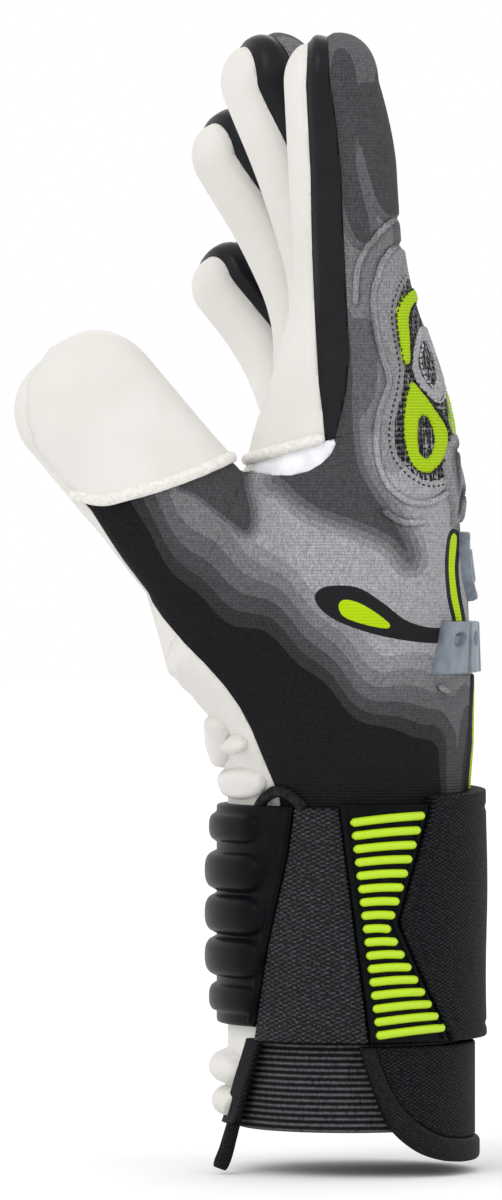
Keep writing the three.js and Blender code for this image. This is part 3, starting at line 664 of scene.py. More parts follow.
LATEX = make_latex()
HEM = make_hem()
LINER = make_liner()
KNIT = make_knit()
GUSSET = make_plain("gusset", (0.0075, 0.008, 0.0095), 0.36, 0.6, 0.05, Specular_IOR_Level=0.17)
RUBBER = make_plain("rubber", (0.004, 0.0045, 0.0055), 0.36, 0.35, 0.03, Specular_IOR_Level=0.045)
LIME_RUBBER = Look("lime rubber", LIME, 0.35, Specular_IOR_Level=0.5).material
SLATE = make_plain("slate rubber", (0.165, 0.195, 0.235), 0.48, 0.4, 0.03)
PILE = make_plain("pile", (0.012, 0.012, 0.014), 0.95, 0.7, 0.5, Sheen_Weight=0.3)
BINDING = make_weave(
    "binding", dark=(0.004, 0.004, 0.005), light=(0.026, 0.027, 0.031),
    roughness=0.7, pitch_u=1.3, pitch_v=0.9, rise=0.15, Specular_IOR_Level=0.12,
)
ELASTIC = make_weave(
    "elastic", dark=(0.003, 0.003, 0.004), light=(0.07, 0.073, 0.082),
    roughness=0.5, pitch_u=2.6, pitch_v=1.15, rise=0.45, Specular_IOR_Level=0.16,
)
MESH_CLOTH = make_weave(
    "mesh cloth", dark=(0.003, 0.003, 0.004), light=(0.032, 0.033, 0.038),
    roughness=0.7, pitch_u=1.9, pitch_v=1.0, rise=0.25, Specular_IOR_Level=0.08,
)
RIBS_DARK = make_weave(
    "ribbed pad knit", dark=(0.01, 0.01, 0.011), light=(0.15, 0.15, 0.157),
    roughness=0.85, pitch_u=60, pitch_v=1.5, rise=0.3, Specular_IOR_Level=0.1,
)


CUFF_RIB_PITCH = 1.55


def make_ribbed():
    look = Look("ribbed cuff", (0.02, 0.02, 0.022), 0.85, Specular_IOR_Level=0.1)
    v = look.math("SINE", look.math("MULTIPLY", look.field("cloth_v"), 2 * math.pi / CUFF_RIB_PITCH))
    # The colour is painted darker in the rib valleys and lighter on the rib tops, as painted shade and
    # highlight, and varied by random specks.
    rib_shade_and_speck = look.math("MULTIPLY", look.math("ADD", v, 1.1), look.noise(0.8, 3, (1, 1, 0.5)))
    look.colour(look.ramp(rib_shade_and_speck, [(0.35, (0.007, 0.007, 0.008)), (1.0, (0.09, 0.093, 0.1))]))
    look.bump(v, 0.25, 0.8)
    return look.material


def make_lime_knit():
    look = Look("lime knit", LIME, 0.75, Specular_IOR_Level=0.2)
    loops = stitches(look, 0.9, 0.75)
    # The lime is painted darker between the loops and brighter on them: painted shade and highlight that
    # follow the knitted relief.
    painted_loop_shade = look.math("MULTIPLY", loops, LOOP_SHADE)
    look.colour(look.ramp(painted_loop_shade, [(0.0, (0.27, 0.42, 0.004)), (0.7, (0.5, 0.74, 0.01))]))
    look.bump(loops, 0.12, 0.8)
    return look.material


RIBBED = make_ribbed()
LIME_KNIT = make_lime_knit()
THREAD_DARK = make_plain("dark thread", (0.012, 0.012, 0.014), 0.8, 0.3, 0.05)
THREAD_LIGHT = make_plain("light thread", (0.4, 0.4, 0.42), 0.8, 0.3, 0.05)


# ------------------------------------------------------------------ patterns on the knit
BLACK_ZONE = rounded([
    (-58, 170), (-55.2, 158.4), (-49, 149), (-40, 138), (-30.3, 129.7), (-19.2, 122.1), (-7.4, 111.7),
    (1.6, 104.8), (15.4, 100.6), (23.5, 97.8), (24.4, 90), (24, 70), (-40, 60), (-90, 120),
], 90)
DROP = rounded([
    (-9, 135.2), (-5.5, 137.4), (2, 137), (8.5, 133), (14.5, 128.6), (22, 126.8), (31, 128),
    (31, 123.6), (20, 123), (8, 124.8), (-2, 128), (-7.4, 131.5),
], 80)
DROP_LIME = rounded([
    (-2.9, 133), (-1, 134), (3, 132.8), (8, 129.6), (10.4, 127.2), (8, 126.8), (2, 128.2), (-2, 130),
], 60)
LIME_LINE = rounded([
    (26, 150.2), (25.2, 143), (25.8, 135), (27.2, 129), (27.4, 125), (28.8, 125), (28.8, 129),
    (27.6, 135), (26.9, 142), (27.6, 150.2),
], 60)
TONGUE_THUMB = rounded([
    (-43, 163.4), (-29, 168.6), (-26.4, 161.4), (-25.2, 155.1), (-25.8, 151.3), (-28.6, 152.6),
    (-33, 156), (-38, 160),
], 60)
TONGUE_SMALL = rounded([
    (-16, 168), (-15, 164.4), (-9.6, 160.8), (-5.6, 159.4), (-3, 160.6), (-2.8, 166), (-4, 174),
], 50)
TONGUE_LARGE = rounded([
    (-19, 167), (-17.6, 163.2), (-10, 156.6), (1.4, 152.4), (9.8, 148.4), (15, 142.6), (16, 146.4),
    (12.4, 153.7), (7, 161), (3.4, 168), (2, 178), (1, 200), (-4, 206),
], 90)
TIP_SHADE = rounded([
    (4, 262), (7.6, 258), (10, 246), (11.6, 234), (9, 235), (5.6, 246), (3.4, 255),
], 50)
TIP_BAND = rounded([
    (-3.6, 272), (0, 270), (2, 258), (1, 244), (4.6, 228), (2.4, 224), (-1.6, 234), (-3, 250), (-5, 262),
], 60)
EMBOSS_LINES = [
    curve_through([
        (17, 223.5), (11.4, 223), (7.4, 218.1), (5.7, 208.7), (6.7, 200.5), (9.4, 191), (9.5, 187.5),
        (7.4, 181.5), (6.6, 173), (8.4, 164.5), (13.5, 159.2), (19.6, 158.6), (24.5, 161.5), (27, 165),
    ], 70),
    curve_through([(18, 230.5), (11.4, 230), (5.3, 224.2), (1.9, 217.5), (1.2, 208)], 30),
    curve_through([(8, 156.5), (13, 153.6), (19, 153.8)], 14),
    curve_through([(22.5, 112), (25, 110.6), (29, 111)], 12),
]
KNUCKLE_FIELD = np.vstack([EMBOSS_LINES[0], [(40, 165), (40, 224)]])


def contour_level(p):
    """Tone of the knit: 0 black to 1 light grey, in smooth hills that the material cuts into bands."""
    flat = p[:, [0, 2]]
    back = smooth((p[:, 1] + 34) / 16)  # 0 on the thumb side, 1 on the back
    sway = 1.6 * np.sin(p[:, 0] * 0.17 + p[:, 2] * 0.06) + 0.9 * np.sin(p[:, 0] * 0.31 - p[:, 2] * 0.11)
    away = sway * 0.9 - shape_distance(flat, BLACK_ZONE)
    light = 0.13 + away / 27
    tall = smooth((p[:, 2] - 156) / 34)
    light = np.minimum(light, mix(1.0, 0.52, tall) + 0.06 * sway)

    def hill(outline, fade, low):
        """A dark mark with its edge at the outline, lighter over the length of fade."""
        return low - shape_distance(flat, outline) / fade

    marks = [hill(TONGUE_THUMB, 7, 0.37), hill(TONGUE_LARGE, 12, 0.5), hill(TONGUE_SMALL, 9, 0.37),
             hill(TIP_SHADE, 16, 0.24), hill(TIP_BAND, 14, 0.36)]
    for mark in marks:
        light = np.minimum(light, np.maximum(mark, 0.26))
    field = shape_distance(flat, KNUCKLE_FIELD)
    light = np.maximum(light, np.minimum(0.78, 0.45 + field / 3))
    fine_wave = np.sin(p[:, 2] / 9.5 + 1.8 * np.cos(p[:, 1] / 13))
    broad_wave = np.sin(p[:, 2] / 23 + np.abs(p[:, 1]) / 10)
    wave = 0.5 * fine_wave + 0.5 * broad_wave
    behind = 0.52 + 0.4 * wave
    behind = mix(behind * smooth((p[:, 2] - 84) / 30), behind, smooth((p[:, 0] - 20) / 10))
    return np.clip(mix(light, behind, back), 0, 1)


def marking(distance, reach=10):
    """A signed distance as 0 to 1, with the mark's edge at a half."""
    return np.clip(0.5 + distance / (2 * reach), 0, 1)


def dress(mesh, axis_y=0.0):
    """Gives a piece of skin its cloth coordinates and its patterns."""
    p = mesh["verts"]
    flat = p[:, [0, 2]]
    side = p[:, 1] < -8
    mesh["cloth_u"] = p[:, 0] - np.abs(p[:, 1] - axis_y)
    mesh["cloth_v"] = p[:, 2].copy()
    mesh["contour"] = contour_level(p)
    line = shape_distance(flat, LIME_LINE)
    dark = np.maximum(shape_distance(flat, DROP), line + 1.1)
    lime = np.maximum(shape_distance(flat, DROP_LIME), line)
    mesh["dark"] = np.where(side, marking(dark), 0)
    mesh["lime"] = np.where(side, marking(lime), 0)
    lines = np.min([line_distance(flat, line) for line in EMBOSS_LINES], axis=0)
    mesh["emboss"] = np.where(side, lines, 9)


# ------------------------------------------------------------------ the skin, cut into panels
def palm_field(p):
    """Positive where the skin is palm latex, on the hand and the thumb."""
    edge = -shape_distance(p[:, [0, 2]], LATEX_EDGE)
    palm_x = np.interp(p[:, 2], [79, 130, 150, 170], [-15, -15, -15, -18.5])
    palm_x = np.where(p[:, 1] > 0, palm_x, np.maximum(palm_x, np.interp(p[:, 2], [140, 168], [-15, -8])))
    side = np.interp(p[:, 2], [84, 104, 122], [14, 24, 47])  # how far round the thumb side counts
    return mix(edge, palm_x - p[:, 0], smooth((p[:, 1] + side) / 7))


def hem_field(p):
    """Positive above the slanting hem of the thumb's cap."""
    line = np.array(THUMB_HEM, float)
    above = p[:, 2] - np.interp(p[:, 0], line[:, 0], line[:, 1])
    return np.where(above > 0, 1, -1) * line_distance(p[:, [0, 2]], line)


def finger_cut(p, finger):
    """Positive past the slanting plane where a finger's panels begin."""
    return (p[:, 2] - finger["cut"] - CUT_SLOPE * (p[:, 0] + 5)) / math.hypot(1, CUT_SLOPE)


def relief(mesh):
    """Small waves that soft latex has near the wrist and in the bend of the thumb."""
    p = mesh["verts"]
    near = np.exp(-(((p[:, 0] + 40) / 9) ** 2) - ((p[:, 2] - 118) / 16) ** 2)
    creases = 0.2 * near * np.sin(line_distance(p[:, [0, 2]], [(-20, 150), (-14, 120)]) * 2.6)
    return creases


def blend_piece(piece):
    """Bakes a piece's placement into its mesh."""
    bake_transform(piece)


def bend_piece(piece):
    """Bakes a piece's placement into its mesh, through blend_piece."""
    blend_piece(piece)


def bend_thumb(piece):
    blend_piece(piece)


WEB_X = -27.5  # between the thumb and the index finger
HAND_LOW = 78.2  # the hand's panels end here, under the strap
FOAM_THICK, FINGER_FOAM_THICK, KNIT_THICK, GUSSET_THICK, LINER_THICK = 4.0, 3.6, 2.2, 1.8, 1.6


def make_hand():
    mesh = skin_mesh(list(FINGERS), (-90, -72, 77), (36, 56, 204))
    for name, finger in FINGERS.items():
        low, high = finger["slot"]
        p = mesh["verts"]
        own = np.minimum(p[:, 1] - low, high - p[:, 1])
        if name == "index":
            own = np.minimum(own, p[:, 0] - WEB_X)
        _, mesh = part(mesh, np.minimum(finger_cut(p, finger), own))
    p = mesh["verts"]
    thumb = (p - THUMB_FOLD["at"]) @ THUMB_FOLD["across"]
    thumb_part, hand_part = part(mesh, thumb)
    hand_part = take(hand_part, hand_part["verts"][hand_part["tris"]][:, :, 2].mean(axis=1) > HAND_LOW)
    cut_thumb(thumb_part)
    cut_hand(hand_part)


def cut_hand(mesh):
    dress(mesh)
    mesh["seam"] = palm_field(mesh["verts"])
    latex, knit = part(mesh, mesh["seam"])
    liner_at = shape_distance(knit["verts"][:, [0, 2]], LINER_EDGE)
    liner_at = np.where(knit["verts"][:, 1] < -34, liner_at, -9)
    knit["liner"] = liner_at
    liner, knit = part(knit, knit["liner"])
    rise = seam_dip([latex["seam"]], 0.6) + relief(latex)
    made = [sheet_from("palm_latex", latex, LATEX, FOAM_THICK, rise, "palm_latex")]
    rise = seam_dip([knit["seam"], knit["liner"]], 0.7) + emboss_rise(knit)
    nodes = ["backhand_knit", "thumb_side_knit", "outer_side_knit"]
    made.append(sheet_from("backhand_knit", knit, KNIT, KNIT_THICK, rise, nodes))
    rise = -0.9 + 0.5 * smooth(liner["liner"] / 2)
    made.append(sheet_from("crotch_liner", liner, LINER, LINER_THICK, rise, "crotch_liner"))
    for piece in made:
        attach(piece, "hand")


def emboss_rise(mesh):
    """The padded field inside the embossed line stands a little proud, with a groove along the line."""
    inside = shape_distance(mesh["verts"][:, [0, 2]], KNUCKLE_FIELD)
    side = mesh["verts"][:, 1] < -8
    proud = 0.8 * smooth(inside / 1.6) * smooth((-16 - mesh["verts"][:, 1]) / 14)
    return np.where(side, proud, 0) - 0.75 * np.exp(-((mesh["emboss"] / 0.8) ** 2))


def cut_thumb(mesh):
    dress(mesh)
    mesh["seam"] = palm_field(mesh["verts"])
    palm, back = part(mesh, mesh["seam"])
    back["hem"] = hem_field(back["verts"])
    cap, knit = part(back, back["hem"])
    SKIN["thumb_cap"] = cap
    rows = [
        ("thumb_palm_latex", palm, LATEX, FOAM_THICK, seam_dip([palm["seam"]], 0.6) + relief(palm), "latex"),
        ("thumb_cap_latex", cap, LATEX, FOAM_THICK, 0.9 + seam_dip([cap["seam"]], 1.5, 1.3), "latex"),
        ("thumb_back_knit", knit, KNIT, KNIT_THICK, seam_dip([knit["seam"], knit["hem"]], 0.7), "knit"),
    ]
    for name, panel, look, thick, rise, slot in rows:
        bend_thumb(sheet_from(name, panel, look, thick, rise, name))


# Where the gusset begins and ends: height on the index finger and depth towards the palm.
GUSSET_FROM = [
    (160, 9), (167, 8.6), (176, 6.8), (188, 3.6), (198, 1.9), (222, 1.0), (242, 0.5), (256, 1.2),
    (268, 2.6),
]
GUSSET_TO = [(160, 9), (167, 9), (176, 9.8), (190, 10.6), (222, 9.6), (242, 8.6), (265, 8.6)]
LATEX_SHARE = dict(index=1.0, middle=0.84, ring=0.82, little=0.82)  # the other palms wrap further round
EASE_FROM, EASE_LENGTH, EASE_SLOPE = 20, 14, 0.09  # above its knuckle a finger may leave its slot
TIP_WRAP = dict(index=0.1, middle=0.3, ring=0.3, little=0.3)  # how fast the latex climbs over the tip


def slot_ease(mesh, finger):
    """How far past its slot a finger may stand: nothing at the knuckle, more towards the tip."""
    above = mesh["verts"][:, 2] - finger["knuckle"] - EASE_FROM
    return EASE_SLOPE * np.maximum(above, 0) + np.maximum(above - EASE_LENGTH, 0)


def make_finger(name):
    finger = FINGERS[name]
    low, high = finger["slot"]
    path = np.array(finger["path"])
    box_low = (path[:, 0].min() - 30, path[:, 1].min() - 17, finger["cut"] - 12)
    box_high = (34, path[:, 1].max() + 17, path[:, 2].max() + 24)
    mesh = skin_mesh([name], box_low, box_high)
    mesh["cut"] = finger_cut(mesh["verts"], finger)
    mesh, _ = part(mesh, mesh["cut"])
    mesh, _ = part(mesh, mesh["verts"][:, 1] - low + slot_ease(mesh, finger))
    mesh, _ = part(mesh, high - mesh["verts"][:, 1] + slot_ease(mesh, finger))
    if name == "index":
        mesh, _ = part(mesh, mesh["verts"][:, 0] - WEB_X)
    dress(mesh, path[1][1])
    height, depth, _, past = finger_place(mesh["verts"], finger)
    lift = height + FINGERS["index"]["knuckle"] - finger["knuckle"]
    share = finger["depth"] / FINGERS["index"]["depth"]
    around = mix(1, LATEX_SHARE[name], smooth((lift - 176) / 20))
    behind = 0
    if name != "index":
        near_tip = smooth((height - path[-1][2]) / 24 + 1)
        around = mix(around, 1.0, near_tip)
        behind = 5 * smooth((lift - 200) / 40)
    to_latex = around * share * np.interp(lift, *np.array(GUSSET_TO).T)
    mesh["latex_seam"] = depth - to_latex + TIP_WRAP[name] * np.maximum(past, 0)
    mesh["knit_seam"] = share * np.interp(lift, *np.array(GUSSET_FROM).T) - depth - behind
    latex, rest = part(mesh, mesh["latex_seam"])
    knit, gusset = part(rest, rest["knit_seam"])
    SKIN[f"{name}_latex"] = latex
    latex_rise = seam_dip([latex["latex_seam"]], 0.7)
    gusset_rise = 0.35 + seam_dip([gusset["latex_seam"], gusset["knit_seam"]], 1.1, 1.5)
    knit_rise = seam_dip([knit["knit_seam"]], 0.8) + emboss_rise(knit)
    rows = [
        ("palm_latex", latex, LATEX, FINGER_FOAM_THICK, latex_rise, "latex"),
        ("gusset", gusset, GUSSET, GUSSET_THICK, gusset_rise, "gusset"),
        ("back_knit", knit, KNIT, KNIT_THICK, knit_rise, "knit"),
    ]
    for kind, panel, look, thick, rise, slot in rows:
        label = f"{name}_{kind}"
        bend_piece(sheet_from(label, panel, look, thick, rise, label))


# ------------------------------------------------------------------ sheets wrapped round the cuff
UNROLL = 34.0  # millimetres of the unrolled cuff for one radian
ROUND = 2 * math.pi * UNROLL  # once round the cuff
OUTWARD = np.array([1, 1, 0])  # leaves a place's X and Y, which point out of the cuff
PAD_EDGE = [(-13.6, 90), (-16, 70), (-21.5, 45), (-26, 15)]
PEEL_LINE = [(6.2, 15), (-3.7, 90)]
BADGE_EDGE = [(26.8, 15), (25.3, 21.5), (18.4, 37), (12.1, 51.8), (16.8, 69), (20.7, 83.4), (22, 90)]
STRAP_LOW, STRAP_HIGH, STRAP_INNER, STRAP_OUTER = 21.5, 81, 2.6, 5.4
BADGE_TOP, BADGE_OUTER = 82, 6.2
TAB_TOP, TAB_OUTER = 84, 7.4
PAD_LOW, PAD_TOP = 25, 81.5
TAB_END = math.asin(22 / (CUFF_Y + 6)) * UNROLL  # the tab ends on the far side of the back


def on_cuff(s, z, offset):
    """The point at an unrolled place (0 is the back, negative the thumb side) and an offset."""
    turn = s / UNROLL
    return np.stack([(CUFF_X + offset) * np.cos(turn), (CUFF_Y + offset) * np.sin(turn), z + 0 * s], axis=-1)


def unroll(x, offset=STRAP_OUTER, far=False):
    """Where the cuff is at x, on the thumb side or on the far one."""
    turn = np.arccos(np.clip(np.asarray(x, float) / (CUFF_X + offset), -1, 1))
    return (turn if far else -turn) * UNROLL


def steps(count, length, edge):
    """Shares from 0 to 1 with extra lines near both ends, where a rounded edge lies."""
    near = np.array([0, 0.1, 0.3, 0.62, 1.0]) * edge / max(length, 4 * edge)
    return np.unique(np.concatenate([near, np.linspace(near[-1], 1 - near[-1], count), 1 - near]))


def rounding(distance, radius):
    """How far an edge of that radius has dropped at a distance from it."""
    t = 1 - np.clip(distance / radius, 0, 1)
    return radius * (1 - np.sqrt(1 - t**2))


def at_height(line, z):
    line = np.array(sorted(line, key=lambda q: q[1]), float)
    return np.interp(z, line[:, 1], line[:, 0])


def wrap(start, end, inner, outer, edge=0.8, columns=40, rows=40, relief_at=None):
    """A closed sheet between two unrolled lines, each a list of (s, z) with as many points.

    Gives vertices, faces and cloth coordinates. relief_at(s, z) adds to the outer face.
    """
    start, end = np.array(start, float), np.array(end, float)
    height = np.linalg.norm(np.diff(start, axis=0), axis=1).sum()
    width = np.linalg.norm(end - start, axis=1).mean()
    v, u = steps(rows, height, edge), steps(columns, width, edge)
    along = np.linspace(0, 1, len(start))
    a = np.stack([np.interp(v, along, start[:, i]) for i in (0, 1)], axis=1)
    b = np.stack([np.interp(v, along, end[:, i]) for i in (0, 1)], axis=1)
    place = mix(a[:, None], b[:, None], u[None, :, None])
    s, z = place[..., 0], place[..., 1]
    across = np.linalg.norm(b - a, axis=1)[:, None]
    near = np.minimum(np.minimum(u, 1 - u)[None] * across, np.minimum(v, 1 - v)[:, None] * height)
    top = outer - rounding(near, edge)
    if relief_at is not None:
        top = top + relief_at(s, z) * smooth(near / edge)
    top = np.maximum(top, inner + 0.2)
    verts = np.vstack([on_cuff(s, z, top).reshape(-1, 3), on_cuff(s, z, inner).reshape(-1, 3)])
    count_v, count_u = s.shape
    index = np.arange(count_v * count_u).reshape(count_v, count_u)
    quads = np.stack([index[:-1, :-1], index[:-1, 1:], index[1:, 1:], index[1:, :-1]], axis=-1).reshape(-1, 4)
    loop = np.concatenate([index[0, :-1], index[:-1, -1], index[-1, :0:-1], index[:0:-1, 0]])
    following = np.roll(loop, -1)
    n = index.size
    rim = np.stack([following, loop, loop + n, following + n], axis=1)
    faces = np.vstack([quads, quads[:, ::-1] + n, rim])
    corner = on_cuff(s, z, top)
    right, up = corner[0, 1] - corner[0, 0], corner[1, 0] - corner[0, 0]
    facing = np.cross(right, up) @ (corner[0, 0] * OUTWARD)
    if facing < 0:
        faces = faces[:, ::-1]
    cloth = {"cloth_u": np.tile(s.ravel(), 2), "cloth_v": np.tile(z.ravel(), 2)}
    return verts, faces, cloth


def merged(parts):
    """Several (vertices, faces, data) as one."""
    verts, faces, data, count = [], [], {}, 0
    for part_verts, part_faces, part_data in parts:
        verts.append(part_verts)
        faces += [[i + count for i in face] for face in part_faces]
        for key, value in part_data.items():
            data.setdefault(key, []).append(value)
        count += len(part_verts)
    return np.vstack(verts), faces, {key: np.concatenate(value) for key, value in data.items()}


def add(name, made, look, body=None, replaces=False):
    """An object from (vertices, faces, data). With replaces it stands for the solid of the same name."""
    verts, faces, data = made
    piece = make_object(name, verts, faces, looks=[look], data=data)
    if replaces:
        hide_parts(name)
    if body:
        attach(piece, body)
    return piece


def edge_line(line, low, high, shift=0.0, far=False, count=25):
    """A strap edge given in X and Z as an unrolled line."""
    z = np.linspace(low, high, count)
    return np.stack([unroll(at_height(line, z) + shift, far=far), z], axis=1)


def level(s, low, high, count=25):
    z = np.linspace(low, high, count)
    return np.stack([np.full(count, s), z], axis=1)


RIB_HEIGHTS = [75.5, 64.3, 53.2, 42.2, 31.6]


def rib_relief(s, z):
    """Moulded ribs across the palm, each a round bar with round ends."""
    turn = np.abs(np.abs(s) / UNROLL - math.pi)
    total = 0 * s
    for i, height in enumerate(RIB_HEIGHTS):
        last = i in (0, len(RIB_HEIGHTS) - 1)
        half, rise = (3.6, 2.0) if last else (4.9, 3.1)
        along = np.maximum(turn - math.radians(38), 0) * UNROLL / (half * 1.5)
        reach = np.abs((z - height) / half) ** 2.6 + along**2.6
        total = np.maximum(total, rise * np.clip(1 - reach, 0, 1) ** 0.45)
    return total


# Hook and loop: name, edge in X, offset from the cuff, body and material slot.
CLOSURE_PATCHES = [
    ("strap_hook_patch", 24.5, 1.5, "strap", "hook_pile"),
    ("cuff_loop_patch", 20.5, 0.3, "hand", "loop_pile"),
]
PATCH_LOW, PATCH_TOP, PATCH_THICK = 26, 78, 0.8


def make_strap():
    low, high = STRAP_LOW, STRAP_HIGH
    pad_near, pad_far = edge_line(PAD_EDGE, PAD_LOW, PAD_TOP), edge_line(PAD_EDGE, PAD_LOW, PAD_TOP, far=True)
    pad_far[:, 0] -= ROUND
    pad = wrap(
        pad_near, pad_far, STRAP_INNER, STRAP_OUTER, edge=1.0, columns=110, rows=110, relief_at=rib_relief,
    )
    add("strap_palm_pad", pad, RUBBER, "hand", True)

    def pucker(s, z):
        return 0.16 * np.sin(s * 0.9 + np.sin(z * 0.11)) * np.sin(z * 0.05 + 1)

    elastic = wrap(edge_line(PAD_EDGE, low, high, 0.3), edge_line(PEEL_LINE, low, high, -0.3),
                   STRAP_INNER, STRAP_OUTER - 0.3, edge=0.7, columns=50, rows=50, relief_at=pucker)
    add("strap_elastic", elastic, ELASTIC, "hand", True)
    anchor = wrap(level(unroll(17, far=True), low, high), edge_line(PAD_EDGE, low, high, 0.3, far=True),
                  STRAP_INNER, STRAP_OUTER - 0.3, edge=0.7, columns=60, rows=50, relief_at=pucker)
    add("strap_anchor", anchor, ELASTIC, "hand", True)
    badge = wrap(edge_line(PEEL_LINE, low, BADGE_TOP), edge_line(BADGE_EDGE, low, BADGE_TOP),
                 STRAP_INNER, BADGE_OUTER, edge=0.9, columns=36, rows=60, relief_at=badge_relief)
    add("strap_badge", badge, RUBBER, "strap", True)
    tab_near, tab_far = edge_line(BADGE_EDGE, low, TAB_TOP, 0.3), level(TAB_END, low, TAB_TOP + 2)
    tab = wrap(tab_near, tab_far, STRAP_INNER, TAB_OUTER, edge=0.8, columns=60, rows=50, relief_at=tab_relief)
    add("strap_closure_tab", tab, MESH_CLOTH, "strap", True)
    add("strap_badge_bars", merged([bar(i) for i in range(BAR_COUNT)]), LIME_RUBBER, "strap", True)
    sides = ((PEEL_LINE, 0.9), (BADGE_EDGE, -0.9))
    rims = [rim(edge_line(line, low + 0.6, BADGE_TOP - 0.6, shift)) for line, shift in sides]
    add("strap_badge_rims", merged(rims), RUBBER, "strap")
    add("strap_pad_rim", rim(edge_line(PAD_EDGE, 25.6, 81, -1.1), 5.3), RUBBER, "hand")
    for name, x, offset, body, slot in CLOSURE_PATCHES:
        near, far = [level(unroll(x, 1, side), PATCH_LOW, PATCH_TOP) for side in (False, True)]
        patch = wrap(near, far, offset, offset + PATCH_THICK, edge=0.3, columns=30, rows=40)
        add(name, patch, PILE, body, True)
    make_tuck()


def rim(line, offset=6.0):
    """A slim round rim along an unrolled line."""
    line = curve_through(line, 70)
    points = on_cuff(line[:, 0], line[:, 1], offset)
    outward = unit(points * OUTWARD)
    return rope(points, 0.75, 10, flat=0.8, normals=outward)


def make_tuck():
    """The turned-in edge of the elastic, which shows above the strap."""
    share = np.linspace(0, 1, 30)
    s = mix(unroll(-21.6, 1), unroll(-10.6, 1), share)
    height = 79.6 + 5.6 * np.sin(math.pi * share) ** 0.7
    points = on_cuff(s, height, 3.6)
    made = rope(points, 1.5, 12, rough=0.03, seed=9, flat=0.8, normals=unit(points * OUTWARD))
    add("strap_tuck", made, BINDING, "hand")


def badge_relief(s, z):
    """A raised border beside the badge's two long edges."""
    left = s - unroll(at_height(PEEL_LINE, z))
    right = unroll(at_height(BADGE_EDGE, z)) - s
    near = np.minimum(left, right)
    return -0.55 * smooth((near - 1.3) / 0.5)


def tab_relief(s, z):
    """A stitched hem round the closure tab."""
    near = np.minimum(np.minimum(z - STRAP_LOW, TAB_TOP - z), s - unroll(at_height(BADGE_EDGE, z)))
    return -0.4 * np.exp(-(((near - 3.2) / 0.45) ** 2)) + 0.2 * np.sin(z * 0.13 + s * 0.05)


BAR_COUNT, BAR_LOW, BAR_HIGH, BAR_RADIUS = 17, 23.4, 77.4, 1.1


def bar(i):
    """One lime bar of the badge: a rod with round ends."""
    share = i / (BAR_COUNT - 1)
    left = mix(6.6, 0.1, share)
    right = mix(24.6, 10.6, share * 2) if share < 0.5 else mix(10.6, 19.4, share * 2 - 1)
    along = np.linspace(0, 1, 26)
    s = mix(unroll(left, 6.5), unroll(right, 6.5), along)
    tilt = 1.6 * abs(share - 0.5) * 2 * (right - left) / 18
    z = mix(BAR_LOW, BAR_HIGH, share) + tilt * along + 0.3 * np.sin(math.pi * along)
    points = on_cuff(s, z, 6.0)
    return rope(points, BAR_RADIUS, 14, flat=1.0, normals=unit(points * OUTWARD))


TAPE_RIGHT = [(-30.4, -1), (-30, 0), (-27, 11), (-24, 21), (-22, 30), (-20, 90)]
TAPE_WIDTH = 3.4


CUFF_LOW, CUFF_TOP = -1.6, 83.5
WRIST_ROLLS = [(13.6, 4.3, 4.9), (4.8, 3.8, 4.2)]  # height, half height and rise of the foam rolls


def make_cuff():
    def ribs(s, z):
        return 0.22 * np.sin(z * 2 * math.pi / CUFF_RIB_PITCH) + 0.2 * np.sin(s * 0.16)

    start, end = level(0, CUFF_LOW, CUFF_TOP), level(-ROUND, CUFF_LOW, CUFF_TOP)
    tube = wrap(start, end, -3, 0.6, edge=0.9, columns=90, rows=170, relief_at=ribs)
    add("wrist_bandage", tube, RIBBED, "hand", True)

    def rolls(s, z):
        turn = np.abs(np.abs(s) / UNROLL - math.pi)
        total = 0 * s
        for height, half, rise in WRIST_ROLLS:
            along = np.maximum(turn - math.radians(18), 0) * UNROLL / (half * 1.6)
            within = 1 - ((z - height) / half) ** 2 - along**2
            total = np.maximum(total, rise * np.sqrt(np.clip(within, 0, 1)))
        return total

    near, far = edge_line(TAPE_RIGHT, 0.4, 84, -2), edge_line(TAPE_RIGHT, 0.4, 84, -2, far=True)
    far[:, 0] -= ROUND
    latex = wrap(near, far, 0.7, 2.5, edge=0.8, columns=80, rows=120, relief_at=rolls)
    add("wrist_palm_latex", latex, LATEX, "hand", True)
    make_heel()
    make_tape()


HEEL_OUTLINE = [(1.9, 22.5), (6, 10), (10.5, 0), (18, -6.5), (26, -9.6), (31.4, -10.2)]
HEEL_SEAM = [(5.6, 22.5), (9.5, 11), (14, 3.6), (21, -2), (27, -3.8), (31.4, -4)]
HEEL_TOP = 20.4


def heel_line(points, count=41):
    """The unrolled line round the back, from the thumb side to the far side."""
    p = curve_through(points, 60)
    p = p[p[:, 1] <= HEEL_TOP + 0.3]
    side = np.stack([unroll(p[:, 0], 3), p[:, 1]], axis=1)
    side[-1, 0] = 0
    other = side[-2::-1] * np.array([-1, 1])
    return curve_through(np.vstack([side, other])[::4], count)


def make_heel():
    seam, outline = heel_line(HEEL_SEAM, 61), heel_line(HEEL_OUTLINE, 61)
    top = np.stack([seam[:, 0], np.maximum(HEEL_TOP, seam[:, 1] + 0.2)], axis=1)
    tab = wrap(seam, top, 0.9, 4.4, edge=0.7, columns=22, rows=70)
    add("heel_tab", tab, MESH_CLOTH, "hand", True)
    binding = wrap(outline, seam, 0.9, 5.6, edge=1.5, columns=10, rows=70)
    add("heel_tab_binding", binding, BINDING, "hand", True)


LOOP_PATH = [
    (-29.4, -18.6, -0.3), (-30.2, -18.6, -3.5), (-31.2, -18.4, -7.6), (-32.2, -18.2, -10.4),
    (-33, -17.4, -11.4), (-32.8, -16.6, -10), (-31.6, -16.2, -7), (-30.4, -16.2, -3), (-29.6, -16.6, -0.3),
]
LOOP_WIDTH, LOOP_THICK = 3.4, 1.1
LOOP_OUT = np.array([-0.46, 0.89, 0.0])  # square to the plane in which the loop swings


